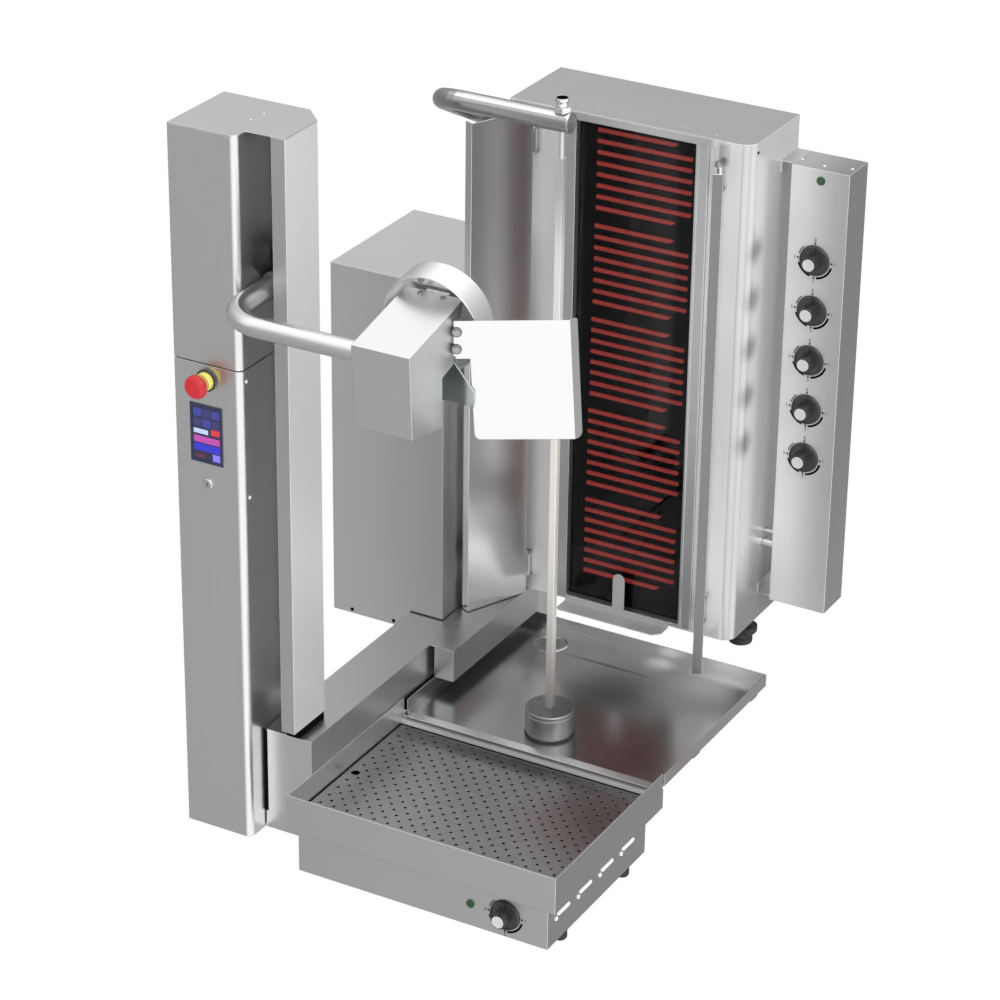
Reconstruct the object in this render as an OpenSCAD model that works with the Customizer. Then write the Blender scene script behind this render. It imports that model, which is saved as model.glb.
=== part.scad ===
// Electric skewer grill with an automatic cutting arm: column and lift, base beam, upright heater with wings,
// driven skewer over a drip tray, and a heated front pan with a perforated insert.
// Every module draws at machine places: X to the right and Y to the back from the column's front left corner,
// and Z up from the floor. centred() then puts the origin under the middle of the whole machine.

/* [Column] */
// Height of the column's top above the floor
column_top = 1288; // [1285:1:1330]
// Width of the column's front housing
front_w = 125; // [118:1:126]
// Depth of the column
column_d = 160; // [156:1:180]
// Height of the seam between the lower and the upper front cover
seam_z = 893; // [888:1:940]
// Thickness of the cover sheet
sheet = 1.5; // [1:0.1:2]

/* [Beam and cabinet] */
// Height of the beam's top above the floor
beam_top = 228; // [226:1:240]
// Length of the beam
beam_l = 840; // [838:1:860]
// Height of the cabinet's top above the floor
cabinet_top = 863; // [700:1:1000]

/* [Heater] */
// Left side of the heater housing
heater_x = 212; // [206:1:213]
// Width of the heater housing
heater_w = 453; // [445:1:460]
// Height of the heater's top above the floor
heater_top = 1148; // [1144:1:1160]
// Depth of the heater housing
heater_d = 180; // [150:1:180]
// Number of heating zones, one above the other
zones = 5; // [3:1:5]
// Number of heating bars in each zone
bars_per_zone = 8; // [6:1:8]
// Height of a wing
wing_h = 915; // [880:1:916]

/* [Control panel] */
// Width of the knob panel
panel_w = 105; // [95:1:110]
// Depth of the knob panel
panel_d = 73; // [60:1:73]
// Distance between two knobs
knob_pitch = 91.25; // [80:0.25:100]

/* [Skewer] */
// Side of the square skewer bar
skewer_side = 12; // [10:1:14]
// Outer radius of the drive hub
hub_r = 42; // [36:1:46]

/* [Arm] */
// Outer radius of the bent tubes
tube_r = 16.85; // [15:0.05:17]
// Wall of the bent tubes
tube_wall = 2.6; // [2:0.1:4]
// Bend radius of the arm tube
arm_bend = 70; // [60:1:80]
// Outer radius of the knife's ring guard
ring_r = 83; // [80:1:84]
// Depth of the ring guard
ring_depth = 47; // [45:1:48]

/* [Pan and insert] */
// Width of the pan frame
pan_w = 503; // [500:1:503]
// Height of the pan frame's rim above the floor
pan_rim = 168; // [160:1:180]
// Diameter of the insert's drain holes
hole_d = 5.5; // [4:0.5:7]
// Distance of the drain holes along a row
hole_pitch_x = 26; // [24:1:30]
// Distance between the rows of drain holes
hole_pitch_y = 28; // [25:1:30]

/* [Hidden] */

// Gap all round a turning shaft in its bore
fit = 0.05;
round_fn = 64;
small_fn = 32;

// Column
column_foot = 38;
cap_t = 2;
side_x = 195;
side_y = 30;
side_strip = 25;
chamfer_y = 124;
back_x = 160;
side_gap = 15;
cover_top = column_top - cap_t;
corner_r = 11;
stop_x = 61;
stop_z = 867;
key_x = 57.5;
key_z = 683;
screen_low = [27.5, 720];
screen_size = [61, 103];

// Lift
screw_x = 180;
screw_y = 88;
screw_r = 8;
rail_side = 15;
rail_x = 140;
carriage_z = 1026;
tube_x = 147;

// Beam
beam_x = 127;
beam_w = 91;
beam_y = 45;
beam_bottom = 38;
beam_t = 2;
beam_right = beam_x + beam_w;
rail_box_x = beam_right + 9;
rail_box_right = 265;
rail_box_y = 433;
rail_box_back = 740;
rail_box_bottom = 167;

// Heater
heater_y = 705;
heater_right = heater_x + heater_w;
heater_back = heater_y + heater_d;
window_x = 321;
window_right = 588;
window_edge = 6;
glass_x = 343;
glass_right = 566;
glass_low = 240;
glass_high = 1136;
glass_t = 4;
bars_low = 260;
bars_high = 1139;
zone_h = (bars_high - bars_low) / zones;
bar_h = 8.5;
bar_pitch = 20.5;
bar_x = 372;
bar_long = 180;
bar_short = 150;

// Wings
wing_t = 1.5;
wing_bottom = beam_top + 2;
wing_axis = [264, 693];
wing_front = [209, 572];
wing_mirror_x = 437;
wing_flange = 17;
hinge_r = 4;
knuckle_r = 7;
hinge_levels = [262, 1068];
knuckle_h = 40;

// Control panel
panel_x = 688;
panel_y = heater_back - panel_d;
panel_low = 271;
panel_high = 1088;
knob_x = 738;
knob_top_z = 926;
panel_lamp_z = 1069;
lamp_r = 5;

// Skewer
skewer_x = 472;
skewer_y = 404;
hub_low = 145.7;
hub_high = 193;
socket_z = 173;
bar_top = 1190;
pin_r = 4;
pin_top = 1262;
sleeve_low = 1242;

// Top arm
top_arm_z = 1251;
top_arm_end = 489;
top_bend = 70;
top_bend_x = 298;
top_fall = 26;
second_bend = 100;
last_bend = 40;

// Tray and pan
tray_x = 224;
tray_right = 722;
tray_y = 345;
tray_back = 740;
tray_floor = 141;
tray_rim = 164;
tray_t = 1.5;
pan_x = 219;
pan_y = -34;
pan_back = 343;
pan_floor = 101;
pan_t = 2;
back_wall_top = 137;
insert_z = 121;
insert_t = 2;
insert_low = [pan_x + 5, -28];
insert_high = [pan_x + pan_w - 4, 326];
first_hole = [239, -18];
body_x = 232;
body_right = 702;
body_y = -20;
body_back = 285;
body_low = 20;
pan_knob_x = 624;
pan_knob_z = 61;
pan_lamp_x = 560;

// Knife head
head_x = 400;
head_w = 101;
head_profile = [[-115, 1049], [-106, 911], [-16, 896], [-18, 980], [16, 990], [45, 1086]];
head_inner = [[-112.9, 1047.6], [-104.1, 912.7], [-18.1, 898.4], [-20.1, 981.5], [14.5, 991.7],
    [42.3, 1083.4]];
ring_x = 450;
ring_y = 35;
ring_z = 1037;
ring_tilt = 10;
ring_wall = 2;
top_slope = atan2(head_profile[5][1] - head_profile[0][1], head_profile[5][0] - head_profile[0][0]);
cover_screw_at = 156;
cover_screws = [-20, 20];
web_at = 26;
web_t = 2;
web_screw = [-26, 60];
plate_x = 510;
plate_y = 15;
plate_yaw = 24;
plate_lean = 3.5;
bolt_along = -3;
bolt_levels = [1017, 1045];
bolt_r = 3;
plate_w = 170;
plate_low = 866;
plate_high = 1063;
plate_t = 2;

// Cabinet
cabinet_x = -32;
cabinet_right = 192;
cabinet_y = 520;
cabinet_back = 800;
cabinet_low = 193;

// Middle of the whole machine's footprint
middle_x = (cabinet_x + panel_x + panel_w) / 2;
middle_y = (head_profile[0][0] + heater_back) / 2;

module centred() translate([-middle_x, -middle_y, 0]) children();

// Box between its lowest and its highest corner
module box_from(low, high) translate(low) cube([high[0] - low[0], high[1] - low[1], high[2] - low[2]]);

// Round bar along Y from y = start, pointing to the back
module bar_y(x, start, z, r, length, sides = round_fn)
    translate([x, start, z]) rotate([-90, 0, 0]) cylinder(r = r, h = length, $fn = sides);

// Round bar along X from x = start, pointing to the right
module bar_x(start, y, z, r, length, sides = round_fn)
    translate([start, y, z]) rotate([0, 90, 0]) cylinder(r = r, h = length, $fn = sides);

// Tube bend in the XY plane about the origin, from angle 0 to turn
module tube_bend(bend_r, turn, r, wall) {
    rotate_extrude(angle = turn, $fn = 96)
        translate([bend_r, 0])
            difference() {
                circle(r, $fn = round_fn);
                circle(r - wall, $fn = round_fn);
            }
}

module tube(r, wall, length) {
    difference() {
        cylinder(r = r, h = length, $fn = round_fn);
        translate([0, 0, -1]) cylinder(r = r - wall, h = length + 2, $fn = round_fn);
    }
}

// Plan of the column's front housing, pulled in by inset, with its rounded front right corner
module front_plan(inset) {
    r = corner_r - inset;
    right = front_w - inset;
    back = column_d - inset;
    translate([inset, inset + r]) square([right - inset, back - inset - r]);
    translate([inset, inset]) square([right - inset - r, back - inset]);
    translate([right - r, inset + r]) circle(r, $fn = round_fn);
}

module front_tube(low, high) {
    translate([0, 0, low])
        linear_extrude(high - low)
            difference() {
                front_plan(0);
                front_plan(sheet);
            }
}

module column_front_cover() {
    color("#9c9c9c") centred() front_tube(seam_z + 2, cover_top);
}

module column_lower_cover() {
    screen_clear = 0.3;
    color("#9a9a9a") centred()
        difference() {
            front_tube(column_foot, seam_z);
            box_from([screen_low[0] + 2 - screen_clear, -1, screen_low[1] + 2 - screen_clear],
                [screen_low[0] + screen_size[0] - 2 + screen_clear, 5,
                screen_low[1] + screen_size[1] - 2 + screen_clear]);
            bar_y(stop_x, -1, stop_z, 11, 5);
            bar_y(key_x, -1, key_z, 8, 5);
        }
}

// Narrow housing right of the lift channel: front strip with a return, right wall, chamfer and back
module column_side_cover() {
    t = 2;
    slant = 0.8;
    color("#b4b4b4") centred()
        translate([0, 0, beam_top + side_gap])
            linear_extrude(cover_top - beam_top - side_gap)
                polygon([
                    [side_x - side_strip, side_y], [side_x, side_y], [side_x, chamfer_y], [back_x, column_d],
                    [front_w, column_d], [front_w, column_d - t], [back_x - slant, column_d - t],
                    [side_x - t, chamfer_y - slant], [side_x - t, side_y + t],
                    [side_x - side_strip + t, side_y + t], [side_x - side_strip + t, side_y + side_strip],
                    [side_x - side_strip, side_y + side_strip]]);
}

module column_cap() {
    color("#a8a8a8") centred()
        translate([0, 0, cover_top])
            linear_extrude(cap_t) {
                front_plan(0);
                polygon([[front_w - 1, side_y], [side_x, side_y], [side_x, chamfer_y], [back_x, column_d],
                    [front_w - 1, column_d]]);
            }
}

// Square tube inside the front housing, with the foot plate under it and the plate that holds the cap
module column_post() {
    low = [32, 62];
    side = 60;
    wall = 3;
    plate_t = 6;
    color("#8a8d90") centred() {
        difference() {
            box_from([low[0], low[1], column_foot + plate_t], [low[0] + side, low[1] + side, cover_top - 3]);
            box_from([low[0] + wall, low[1] + wall, column_foot + plate_t - 1],
                [low[0] + side - wall, low[1] + side - wall, cover_top]);
        }
        box_from([sheet, 20, column_foot], [front_w - sheet, column_d - sheet, column_foot + plate_t]);
        box_from([sheet, 20, cover_top - 3], [front_w - sheet, column_d - sheet, cover_top]);
    }
}

// Guide at the back of the lift channel, waisted on both sides for the carriage
module lift_rail() {
    back = column_d - 2;
    waist = 2.5;
    color("#c9cdd2") centred()
        difference() {
            box_from([rail_x, back - rail_side, 250], [rail_x + rail_side, back, 1270]);
            for (x = [rail_x - 1, rail_x + rail_side - waist])
                box_from([x, back - 10, 249], [x + waist + 1, back - 5, 1271]);
        }
}

// Block screwed to the right wall of the side cover, bored for the lead screw
module bearing_block(low, high) {
    difference() {
        box_from([screw_x - 15, screw_y - 16, low], [side_x - 2, screw_y + 16, high]);
        translate([screw_x, screw_y, low - 1])
            cylinder(r = screw_r + fit, h = high - low + 2, $fn = round_fn);
    }
}

module screw_bearings() {
    color("#6d7176") centred() {
        bearing_block(246, 262);
        bearing_block(1254, 1270);
    }
}

module lift_motor() {
    side = 60;
    top = beam_top - beam_t;
    color("#2e3033") centred()
        difference() {
            union() {
                box_from([screw_x - side / 2, screw_y - side / 2, top - 22],
                    [screw_x + side / 2, screw_y + side / 2, top]);
                translate([screw_x, screw_y, top - 86]) cylinder(r = 28, h = 65, $fn = round_fn);
            }
            translate([screw_x, screw_y, top - 14]) cylinder(r = 13, h = 15, $fn = round_fn);
        }
}

// Screen with a raised bezel and a sunk glass, and its body behind the cover
module touch_screen() {
    low = [screen_low[0], -sheet, screen_low[1]];
    high = [screen_low[0] + screen_size[0], 0, screen_low[1] + screen_size[1]];
    lip = 5;
    color("#1b2350") centred()
        difference() {
            union() {
                box_from(low, high);
                box_from([low[0] + 2, 0, low[2] + 2], [high[0] - 2, 12, high[2] - 2]);
            }
            box_from([low[0] + lip, -sheet - 1, low[2] + lip], [high[0] - lip, -sheet + 0.7, high[2] - lip]);
        }
}

// Yellow ring and black seat of the stop button, with the contact block inside the cover
module stop_collar() {
    color("#ded36a") centred()
        difference() {
            union() {
                bar_y(stop_x, -16, stop_z, 15, 13);
                bar_y(stop_x, -4, stop_z, 18, 4);
                bar_y(stop_x, -1, stop_z, 10.8, 13);
                box_from([stop_x - 15, 12, stop_z - 15], [stop_x + 15, 40, stop_z + 15]);
            }
            bar_y(stop_x, -17, stop_z, 6 + fit, 47);
        }
}

module base_beam() {
    t = beam_t;
    color("#b2b2b2") centred() {
        difference() {
            box_from([beam_x, beam_y, beam_bottom], [beam_right, beam_y + beam_l, beam_top]);
            box_from([beam_x + t, beam_y + t, beam_bottom + t],
                [beam_right - t, beam_y + beam_l - t, beam_top - t]);
            translate([screw_x, screw_y, beam_top - 5]) cylinder(r = 13, h = 10, $fn = round_fn);
        }
        box_from([front_w, 80, 60], [beam_x, 150, 215]);
    }
}

// Shelf beside the beam, with a narrow slot between its box and the beam
module side_rail() {
    t = 2;
    color("#acacac") centred() {
        difference() {
            box_from([rail_box_x, rail_box_y, rail_box_bottom], [rail_box_right, rail_box_back, beam_top]);
            box_from([rail_box_x + t, rail_box_y + t, rail_box_bottom + t],
                [rail_box_right - t, rail_box_back - t, beam_top - t]);
        }
        box_from([beam_right, rail_box_y, beam_top - t], [rail_box_x, rail_box_back, beam_top]);
    }
}

// Rubber foot with its threaded neck, standing at the given height
module foot(x, y, low, high, r) {
    translate([x, y, low]) {
        cylinder(r1 = r - 2, r2 = r, h = 3, $fn = round_fn);
        translate([0, 0, 3]) cylinder(r = r, h = min(10, (high - low) / 2), $fn = round_fn);
        cylinder(r = r * 0.45, h = high - low, $fn = small_fn);
    }
}

module levelling_feet() {
    color("#1d1d1d") centred() {
        foot(62, 90, 0, column_foot, 20);
        for (y = [190, 860])
            foot(beam_x + beam_w / 2, y, 0, beam_bottom, 20);
        for (x = [body_x + 14, body_right - 14], y = [49, 267])
            foot(x, y, 0, body_low, 12);
        foot(640, 822, 190, beam_top, 21);
        foot(cabinet_x + 34, cabinet_y + 40, cabinet_low - 9, cabinet_low, 12);
    }
}

// Sealed cabinet that hangs left of the beam and rests on its top
module control_cabinet() {
    t = 1.5;
    color("#a6a6a6") centred()
        difference() {
            translate([0, cabinet_back, 0]) rotate([90, 0, 0])
                linear_extrude(cabinet_back - cabinet_y)
                    polygon([[cabinet_x, cabinet_low], [beam_x, cabinet_low], [beam_x, beam_top],
                        [cabinet_right, beam_top], [cabinet_right, cabinet_top], [cabinet_x, cabinet_top]]);
            translate([0, cabinet_back - t, 0]) rotate([90, 0, 0])
                linear_extrude(cabinet_back - cabinet_y - 2 * t)
                    polygon([[cabinet_x + t, cabinet_low + t], [beam_x - t, cabinet_low + t],
                        [beam_x - t, beam_top + t], [cabinet_right - t, beam_top + t],
                        [cabinet_right - t, cabinet_top - t], [cabinet_x + t, cabinet_top - t]]);
        }
}

// Plan of the heater housing, pulled in by inset, with its large rounded front right corner
module heater_plan(inset) {
    r = 24 - inset;
    left = heater_x + inset;
    right = heater_right - inset;
    front = heater_y + inset;
    back = heater_back - inset;
    translate([left, front]) square([right - left - r, back - front]);
    translate([left, front + r]) square([right - left, back - front - r]);
    translate([right - r, front + r]) circle(r, $fn = round_fn);
}

module heater_housing() {
    t = 1.2;
    color("#b0b0b0") centred()
        difference() {
            translate([0, 0, beam_top]) linear_extrude(heater_top - beam_top) heater_plan(0);
            translate([0, 0, beam_top + t]) linear_extrude(heater_top - beam_top - 2 * t) heater_plan(t);
            box_from([window_x, heater_y - 1, beam_top + window_edge],
                [window_right, heater_y + 4, heater_top - window_edge]);
        }
}

module heater_insulation() {
    front = heater_y + 17;
    color("#d8d2c0") centred()
        box_from([window_x - 8, front, glass_low - 4], [window_right + 8, front + 30, glass_high + 4]);
}

// Frame profiles round the glass, with a raised bead along the opening
module heater_frame() {
    bead = 4;
    gap = 0.3;
    color("#a2a2a2") centred() {
        difference() {
            box_from([window_x + gap, heater_y - 5, beam_top + window_edge + gap],
                [window_right - gap, heater_y + 7, heater_top - window_edge - gap]);
            box_from([glass_x, heater_y - 6, glass_low], [glass_right, heater_y + 8, glass_high]);
        }
        difference() {
            box_from([glass_x - bead, heater_y - 7, glass_low - bead],
                [glass_right + bead, heater_y - 5, glass_high + bead]);
            box_from([glass_x, heater_y - 8, glass_low], [glass_right, heater_y - 4, glass_high]);
        }
        box_from([window_x - 6, heater_y - 7, glass_high],
            [window_right + 6, heater_y, heater_top + 2]);
    }
}

module heater_glass() {
    color("#202022") centred()
        box_from([glass_x - 12, heater_y + 7, glass_low - 6],
            [glass_right + 12, heater_y + 7 + glass_t, glass_high + 6]);
}

// Ribbon bars, the first and the last of each zone shorter at the right and cut off at a slant
module heating_elements() {
    front = heater_y + 14;
    t = 3;
    slant = 6;
    color("#96322f") centred()
        for (zone = [0 : zones - 1], i = [0 : bars_per_zone - 1]) {
            ends = i == 0 || i == bars_per_zone - 1;
            z = bars_low + zone * zone_h + (zone_h - bars_per_zone * bar_pitch) / 2 + i * bar_pitch;
            translate([bar_x, front + t, z]) rotate([90, 0, 0])
                linear_extrude(t)
                    polygon(ends ? [[0, 0], [bar_short - slant, 0], [bar_short, bar_h], [0, bar_h]]
                        : [[0, 0], [bar_long, 0], [bar_long, bar_h], [0, bar_h]]);
        }
}

// Lip under the glass and the tab that keeps the meat off it
module meat_guard() {
    t = 2;
    front = 659;
    right = glass_right - 19;
    cut = 12;
    tab_x = 437;
    tab_w = 23;
    tab_top = 308;
    face = heater_y - 7;
    color("#bdbdbd") centred() {
        translate([0, 0, beam_top])
            linear_extrude(t)
                polygon([[glass_x, face], [glass_x, front + 6], [glass_x + 6, front],
                    [right - cut, front], [right, front + cut], [right, face]]);
        box_from([tab_x, face - t, beam_top], [tab_x + tab_w, face, tab_top - tab_w / 2]);
        bar_y(tab_x + tab_w / 2, face - t, tab_top - tab_w / 2, tab_w / 2, t);
        box_from([glass_x, face - t, beam_top], [right, face, beam_top + 12]);
    }
}

// Pin of one wing between the two ears that hold it
module hinge(axis, low) {
    ear_t = 4;
    translate([axis[0], axis[1], low - ear_t])
        cylinder(r = hinge_r, h = knuckle_h + 2 * ear_t + 4, $fn = small_fn);
    for (z = [low - ear_t - 1, low + knuckle_h + 1])
        difference() {
            union() {
                translate([axis[0], axis[1], z]) cylinder(r = knuckle_r, h = ear_t, $fn = round_fn);
                box_from([axis[0] - knuckle_r, axis[1], z], [axis[0] + knuckle_r, heater_y, z + ear_t]);
            }
            translate([axis[0], axis[1], z - 1]) cylinder(r = hinge_r, h = ear_t + 2, $fn = small_fn);
        }
}

module wing_hinges() {
    color("#9fa2a5") centred()
        for (z = hinge_levels) {
            hinge(wing_axis, z);
            hinge([2 * wing_mirror_x - wing_axis[0], wing_axis[1]], z);
        }
}

module panel_housing() {
    t = 1.2;
    color("#c4c4c4") centred()
        difference() {
            box_from([panel_x, panel_y, panel_low], [panel_x + panel_w, heater_back, panel_high]);
            box_from([panel_x + t, panel_y + t, panel_low + t],
                [panel_x + panel_w - t, heater_back - t, panel_high - t]);
            for (i = [0 : 4])
                bar_y(knob_x, panel_y - 1, knob_top_z - i * knob_pitch, 3 + fit, 4, small_fn);
            bar_y(knob_x + 4, panel_y - 1, panel_lamp_z, lamp_r, 4, small_fn);
        }
}

// Angle plates between the heater's side and the panel, top and bottom
module panel_brackets() {
    t = 2;
    leg = 22;
    low = panel_low + 8;
    back = heater_back - 10;
    color("#b8b8b8") centred() {
        box_from([heater_right, panel_y + 8, panel_high - t], [panel_x, heater_back, panel_high]);
        box_from([heater_right, panel_y + 8, panel_high - leg],
            [heater_right + t, heater_back, panel_high - t]);
        box_from([heater_right, panel_y - 4, low], [panel_x, back, low + t]);
        box_from([heater_right, panel_y - 4, low + t], [heater_right + t, back, low + leg]);
    }
}

module cable_conduit() {
    color("#c8c8c8") centred() {
        bar_x(heater_right, panel_y + 14, 374, 8, panel_x - heater_right);
        bar_x(heater_right, panel_y + 14, 397, 3.5, panel_x - heater_right, small_fn);
    }
}

// Regulator behind a knob, bored for the knob's shaft
module regulator(x, y, z) {
    difference() {
        union() {
            bar_y(x, y, z, 7, 5, small_fn);
            box_from([x - 20, y + 4, z - 20], [x + 20, y + 30, z + 20]);
        }
        bar_y(x, y - 1, z, 3 + fit, 16, small_fn);
    }
}

module power_regulators() {
    color("#3b3b3d") centred() {
        for (i = [0 : 4])
            regulator(knob_x, panel_y + 1.2, knob_top_z - i * knob_pitch);
        regulator(pan_knob_x, body_y + pan_t, pan_knob_z);
    }
}

module lamp(x, y, z) {
    bar_y(x, y, z, lamp_r - 0.1, 12, small_fn);
    difference() {
        bar_y(x, y - 2, z, lamp_r + 2.5, 2, round_fn);
        bar_y(x, y - 3, z, lamp_r - 1, 1.6, round_fn);
    }
}

module pilot_lamps() {
    color("#1f5a2c") centred() {
        lamp(knob_x + 4, panel_y, panel_lamp_z);
        lamp(pan_lamp_x, body_y, pan_knob_z + 1);
    }
}

// Points [x, along, heading] of an arc that turns clockwise about a centre, from one heading to another
function right_arc(centre, r, from, to, steps) = [for (i = [0 : steps])
    let (h = from + (to - from) * i / steps)
    [centre[0] + r * cos(h + 90), centre[1] + r * sin(h + 90), h]];

// The same for an arc that turns the other way
function left_arc(centre, r, from, to, steps) = [for (i = [0 : steps])
    let (h = from + (to - from) * i / steps)
    [centre[0] + r * cos(h - 90), centre[1] + r * sin(h - 90), h]];

// Point of a ring round a path point: side goes round the ring
function ring_point(at, r, side, sides) =
    [at[0] + r * cos(side * 360 / sides) * sin(at[2]), at[1] - r * cos(side * 360 / sides) * cos(at[2]),
        r * sin(side * 360 / sides)];

// Bent tube along a flat path, with its outer and inner wall and open ends
module swept_tube(path, r, wall, sides) {
    rings = len(path);
    inner = rings * sides;
    points = [for (w = [r, r - wall], at = path, k = [0 : sides - 1]) ring_point(at, w, k, sides)];
    walls = [for (i = [0 : rings - 2], k = [0 : sides - 1])
        let (a = i * sides + k, b = i * sides + (k + 1) % sides)
        each [[a, b, b + sides], [a, b + sides, a + sides],
            [inner + a, inner + b + sides, inner + b], [inner + a, inner + a + sides, inner + b + sides]]];
    ends = [for (k = [0 : sides - 1])
        let (a = k, b = (k + 1) % sides, last = (rings - 1) * sides)
        each [[a, inner + b, b], [a, inner + a, inner + b],
            [last + a, last + b, inner + last + b], [last + a, inner + last + b, inner + last + a]]];
    polyhedron(points, concat(walls, ends));
}

// Bent tube from the heater's left side to the skewer's top. It lies in one plane that falls to the back:
// straight run to the left, a bend, a slanting run past the wing and a last bend square to the side wall.
module top_arm() {
    wall_face = heater_x - 4;
    drift = 7;
    steep = 17;
    first = right_arc([top_bend_x, top_bend], top_bend, 180, 90 + drift, 8);
    bend_end = first[8];
    passing = 230;
    pass_x = bend_end[0] - (passing - bend_end[1]) * tan(drift);
    second = left_arc([pass_x - second_bend * cos(drift), passing - second_bend * sin(drift)],
        second_bend, 90 + drift, 90 + steep, 3);
    leave = second[3];
    last_x = wall_face - last_bend * cos(steep);
    last_q = leave[1] + (leave[0] - last_x) / tan(steep);
    last = right_arc([wall_face, last_q + last_bend * sin(steep)], last_bend, 90 + steep, 0, 10);
    path = concat([[top_arm_end - 2, 0, 180]], first, second, last);
    color("#c2c2c2") centred()
        difference() {
            translate([0, skewer_y, top_arm_z]) rotate([-top_fall, 0, 0]) {
                swept_tube(path, tube_r, tube_wall, 20);
                translate([wall_face, last[10][1], 0]) rotate([0, 90, 0])
                    cylinder(r = 30, h = 4, $fn = round_fn);
                translate([top_arm_end - 2, 0, 0]) rotate([0, 90, 0])
                    cylinder(r = tube_r, h = 2, $fn = round_fn);
            }
            translate([skewer_x, skewer_y, top_arm_z - 30]) cylinder(r = 8, h = 60, $fn = small_fn);
        }
}

// Hexagon body on the end of the top arm, with the bush that passes through the tube
module clamp_nut() {
    color("#d2d2d2") centred()
        translate([skewer_x, skewer_y, 0])
            difference() {
                union() {
                    translate([0, 0, 1236]) cylinder(r = 7.95, h = 32, $fn = small_fn);
                    translate([0, 0, 1267.9]) cylinder(r = 15, h = 9, $fn = 6);
                }
                translate([0, 0, 1230]) cylinder(r = 6 + fit, h = 60, $fn = small_fn);
            }
}

// Tray with rims on three sides, a sloping front lip that ends inside the pan's right wall, a drain dimple
// and the opening for the hub's shaft
module drip_tray() {
    t = tray_t;
    lip_gap = 0.2;
    hub_hole = 20;
    drain_r = 30;
    drain_at = [325, 679];
    color("#9d9d9d") centred() {
        difference() {
            union() {
                box_from([tray_x, tray_y, tray_floor], [tray_right, tray_back, tray_floor + t]);
                translate([drain_at[0], drain_at[1], tray_floor - 2])
                    cylinder(r = drain_r + t, h = 2, $fn = round_fn);
            }
            translate([skewer_x, skewer_y, tray_floor - 1]) cylinder(r = hub_hole, h = 5, $fn = round_fn);
            translate([drain_at[0], drain_at[1], tray_floor - 2 + t])
                cylinder(r = drain_r, h = 5, $fn = round_fn);
        }
        box_from([tray_x, tray_y, tray_floor], [tray_x + t, tray_back, tray_rim]);
        box_from([tray_right - t, tray_y, tray_floor], [tray_right, tray_back, tray_rim]);
        box_from([tray_x, tray_back - t, tray_floor], [tray_right, tray_back, tray_rim]);
        translate([tray_x, 0, 0]) rotate([90, 0, 90])
            linear_extrude(pan_x + pan_w - pan_t - lip_gap - tray_x)
                polygon([[tray_y - 14, tray_floor - 3], [tray_y, tray_floor], [tray_y, tray_floor + t],
                    [tray_y - 14, tray_floor + t - 3]]);
    }
}

// Right-angle gearbox under the tray with its motor lying to the back
module gear_motor() {
    top = tray_floor - 8;
    low = top - 80;
    axis_z = top - 48;
    motor_r = 26;
    bore_depth = 34;
    color("#56595c") centred()
        difference() {
            union() {
                box_from([skewer_x - 42, skewer_y - 42, low], [skewer_x + 42, skewer_y + 42, top]);
                bar_y(skewer_x, skewer_y + 42, axis_z, motor_r, 120);
                for (y = [60 : 12 : 144])
                    bar_y(skewer_x, skewer_y + y, axis_z, motor_r + 3, 4);
            }
            translate([skewer_x, skewer_y, top - bore_depth])
                cylinder(r = 10 + fit, h = bore_depth + 1, $fn = round_fn);
        }
}

// Two box bearers from the beam and the plate that carries the gear motor
module tray_bearers() {
    high = tray_floor;
    low = tray_floor - 22;
    plate_low = tray_floor - 8;
    front_bearer = 486;
    color("#8f8f8f") centred() {
        for (y = [front_bearer, 712])
            difference() {
                box_from([beam_right, y, low], [tray_right - 14, y + 24, high]);
                box_from([beam_right - 1, y + 2, low + 2], [tray_right - 16, y + 22, high - 2]);
            }
        difference() {
            box_from([skewer_x - 60, skewer_y - 50, plate_low], [skewer_x + 60, front_bearer, high]);
            translate([skewer_x, skewer_y, plate_low - 1]) cylinder(r = 20, h = 12, $fn = round_fn);
        }
    }
}

module hub_seal() {
    low = tray_floor + tray_t;
    color("#151515") centred()
        translate([skewer_x, skewer_y, low]) difference() {
            cylinder(r = hub_r + 1, h = 3, $fn = round_fn);
            translate([0, 0, -1]) cylinder(r = hub_r - 8, h = 5, $fn = round_fn);
        }
}

// Deep frame of the pan: tub floor, four walls with a low back one, and the ledge that carries the insert
module pan_frame() {
    t = pan_t;
    right = pan_x + pan_w;
    ledge = 9;
    color("#a0a0a0") centred() {
        difference() {
            box_from([pan_x, pan_y, pan_floor], [right, pan_back, pan_rim]);
            box_from([pan_x + t, pan_y + t, pan_floor + t], [right - t, pan_back - t, pan_rim + 1]);
            box_from([pan_x - 1, pan_back - t - 1, back_wall_top], [right + 1, pan_back + 1, pan_rim + 1]);
        }
        difference() {
            box_from([pan_x + t, pan_y + t, insert_z - t], [right - t, pan_back - t, insert_z]);
            box_from([pan_x + t + ledge, pan_y + t + ledge, insert_z - t - 1],
                [right - t - ledge, insert_high[1] - ledge, insert_z + 1]);
        }
    }
}

// Pressed louvre on the right wall: a slot under a half-round hood
module louvre_hood(y, z, length) {
    difference() {
        translate([body_right, y, z]) {
            rotate([-90, 0, 0]) cylinder(r = 5, h = length, $fn = small_fn);
            sphere(5, $fn = small_fn);
            translate([0, length, 0]) sphere(5, $fn = small_fn);
        }
        translate([body_right, y, z]) {
            rotate([-90, 0, 0]) cylinder(r = 3.8, h = length, $fn = small_fn);
            translate([-6, -6, -6]) cube([6, length + 12, 12]);
            translate([-1, -6, -6]) cube([12, length + 12, 5]);
        }
    }
}

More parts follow.
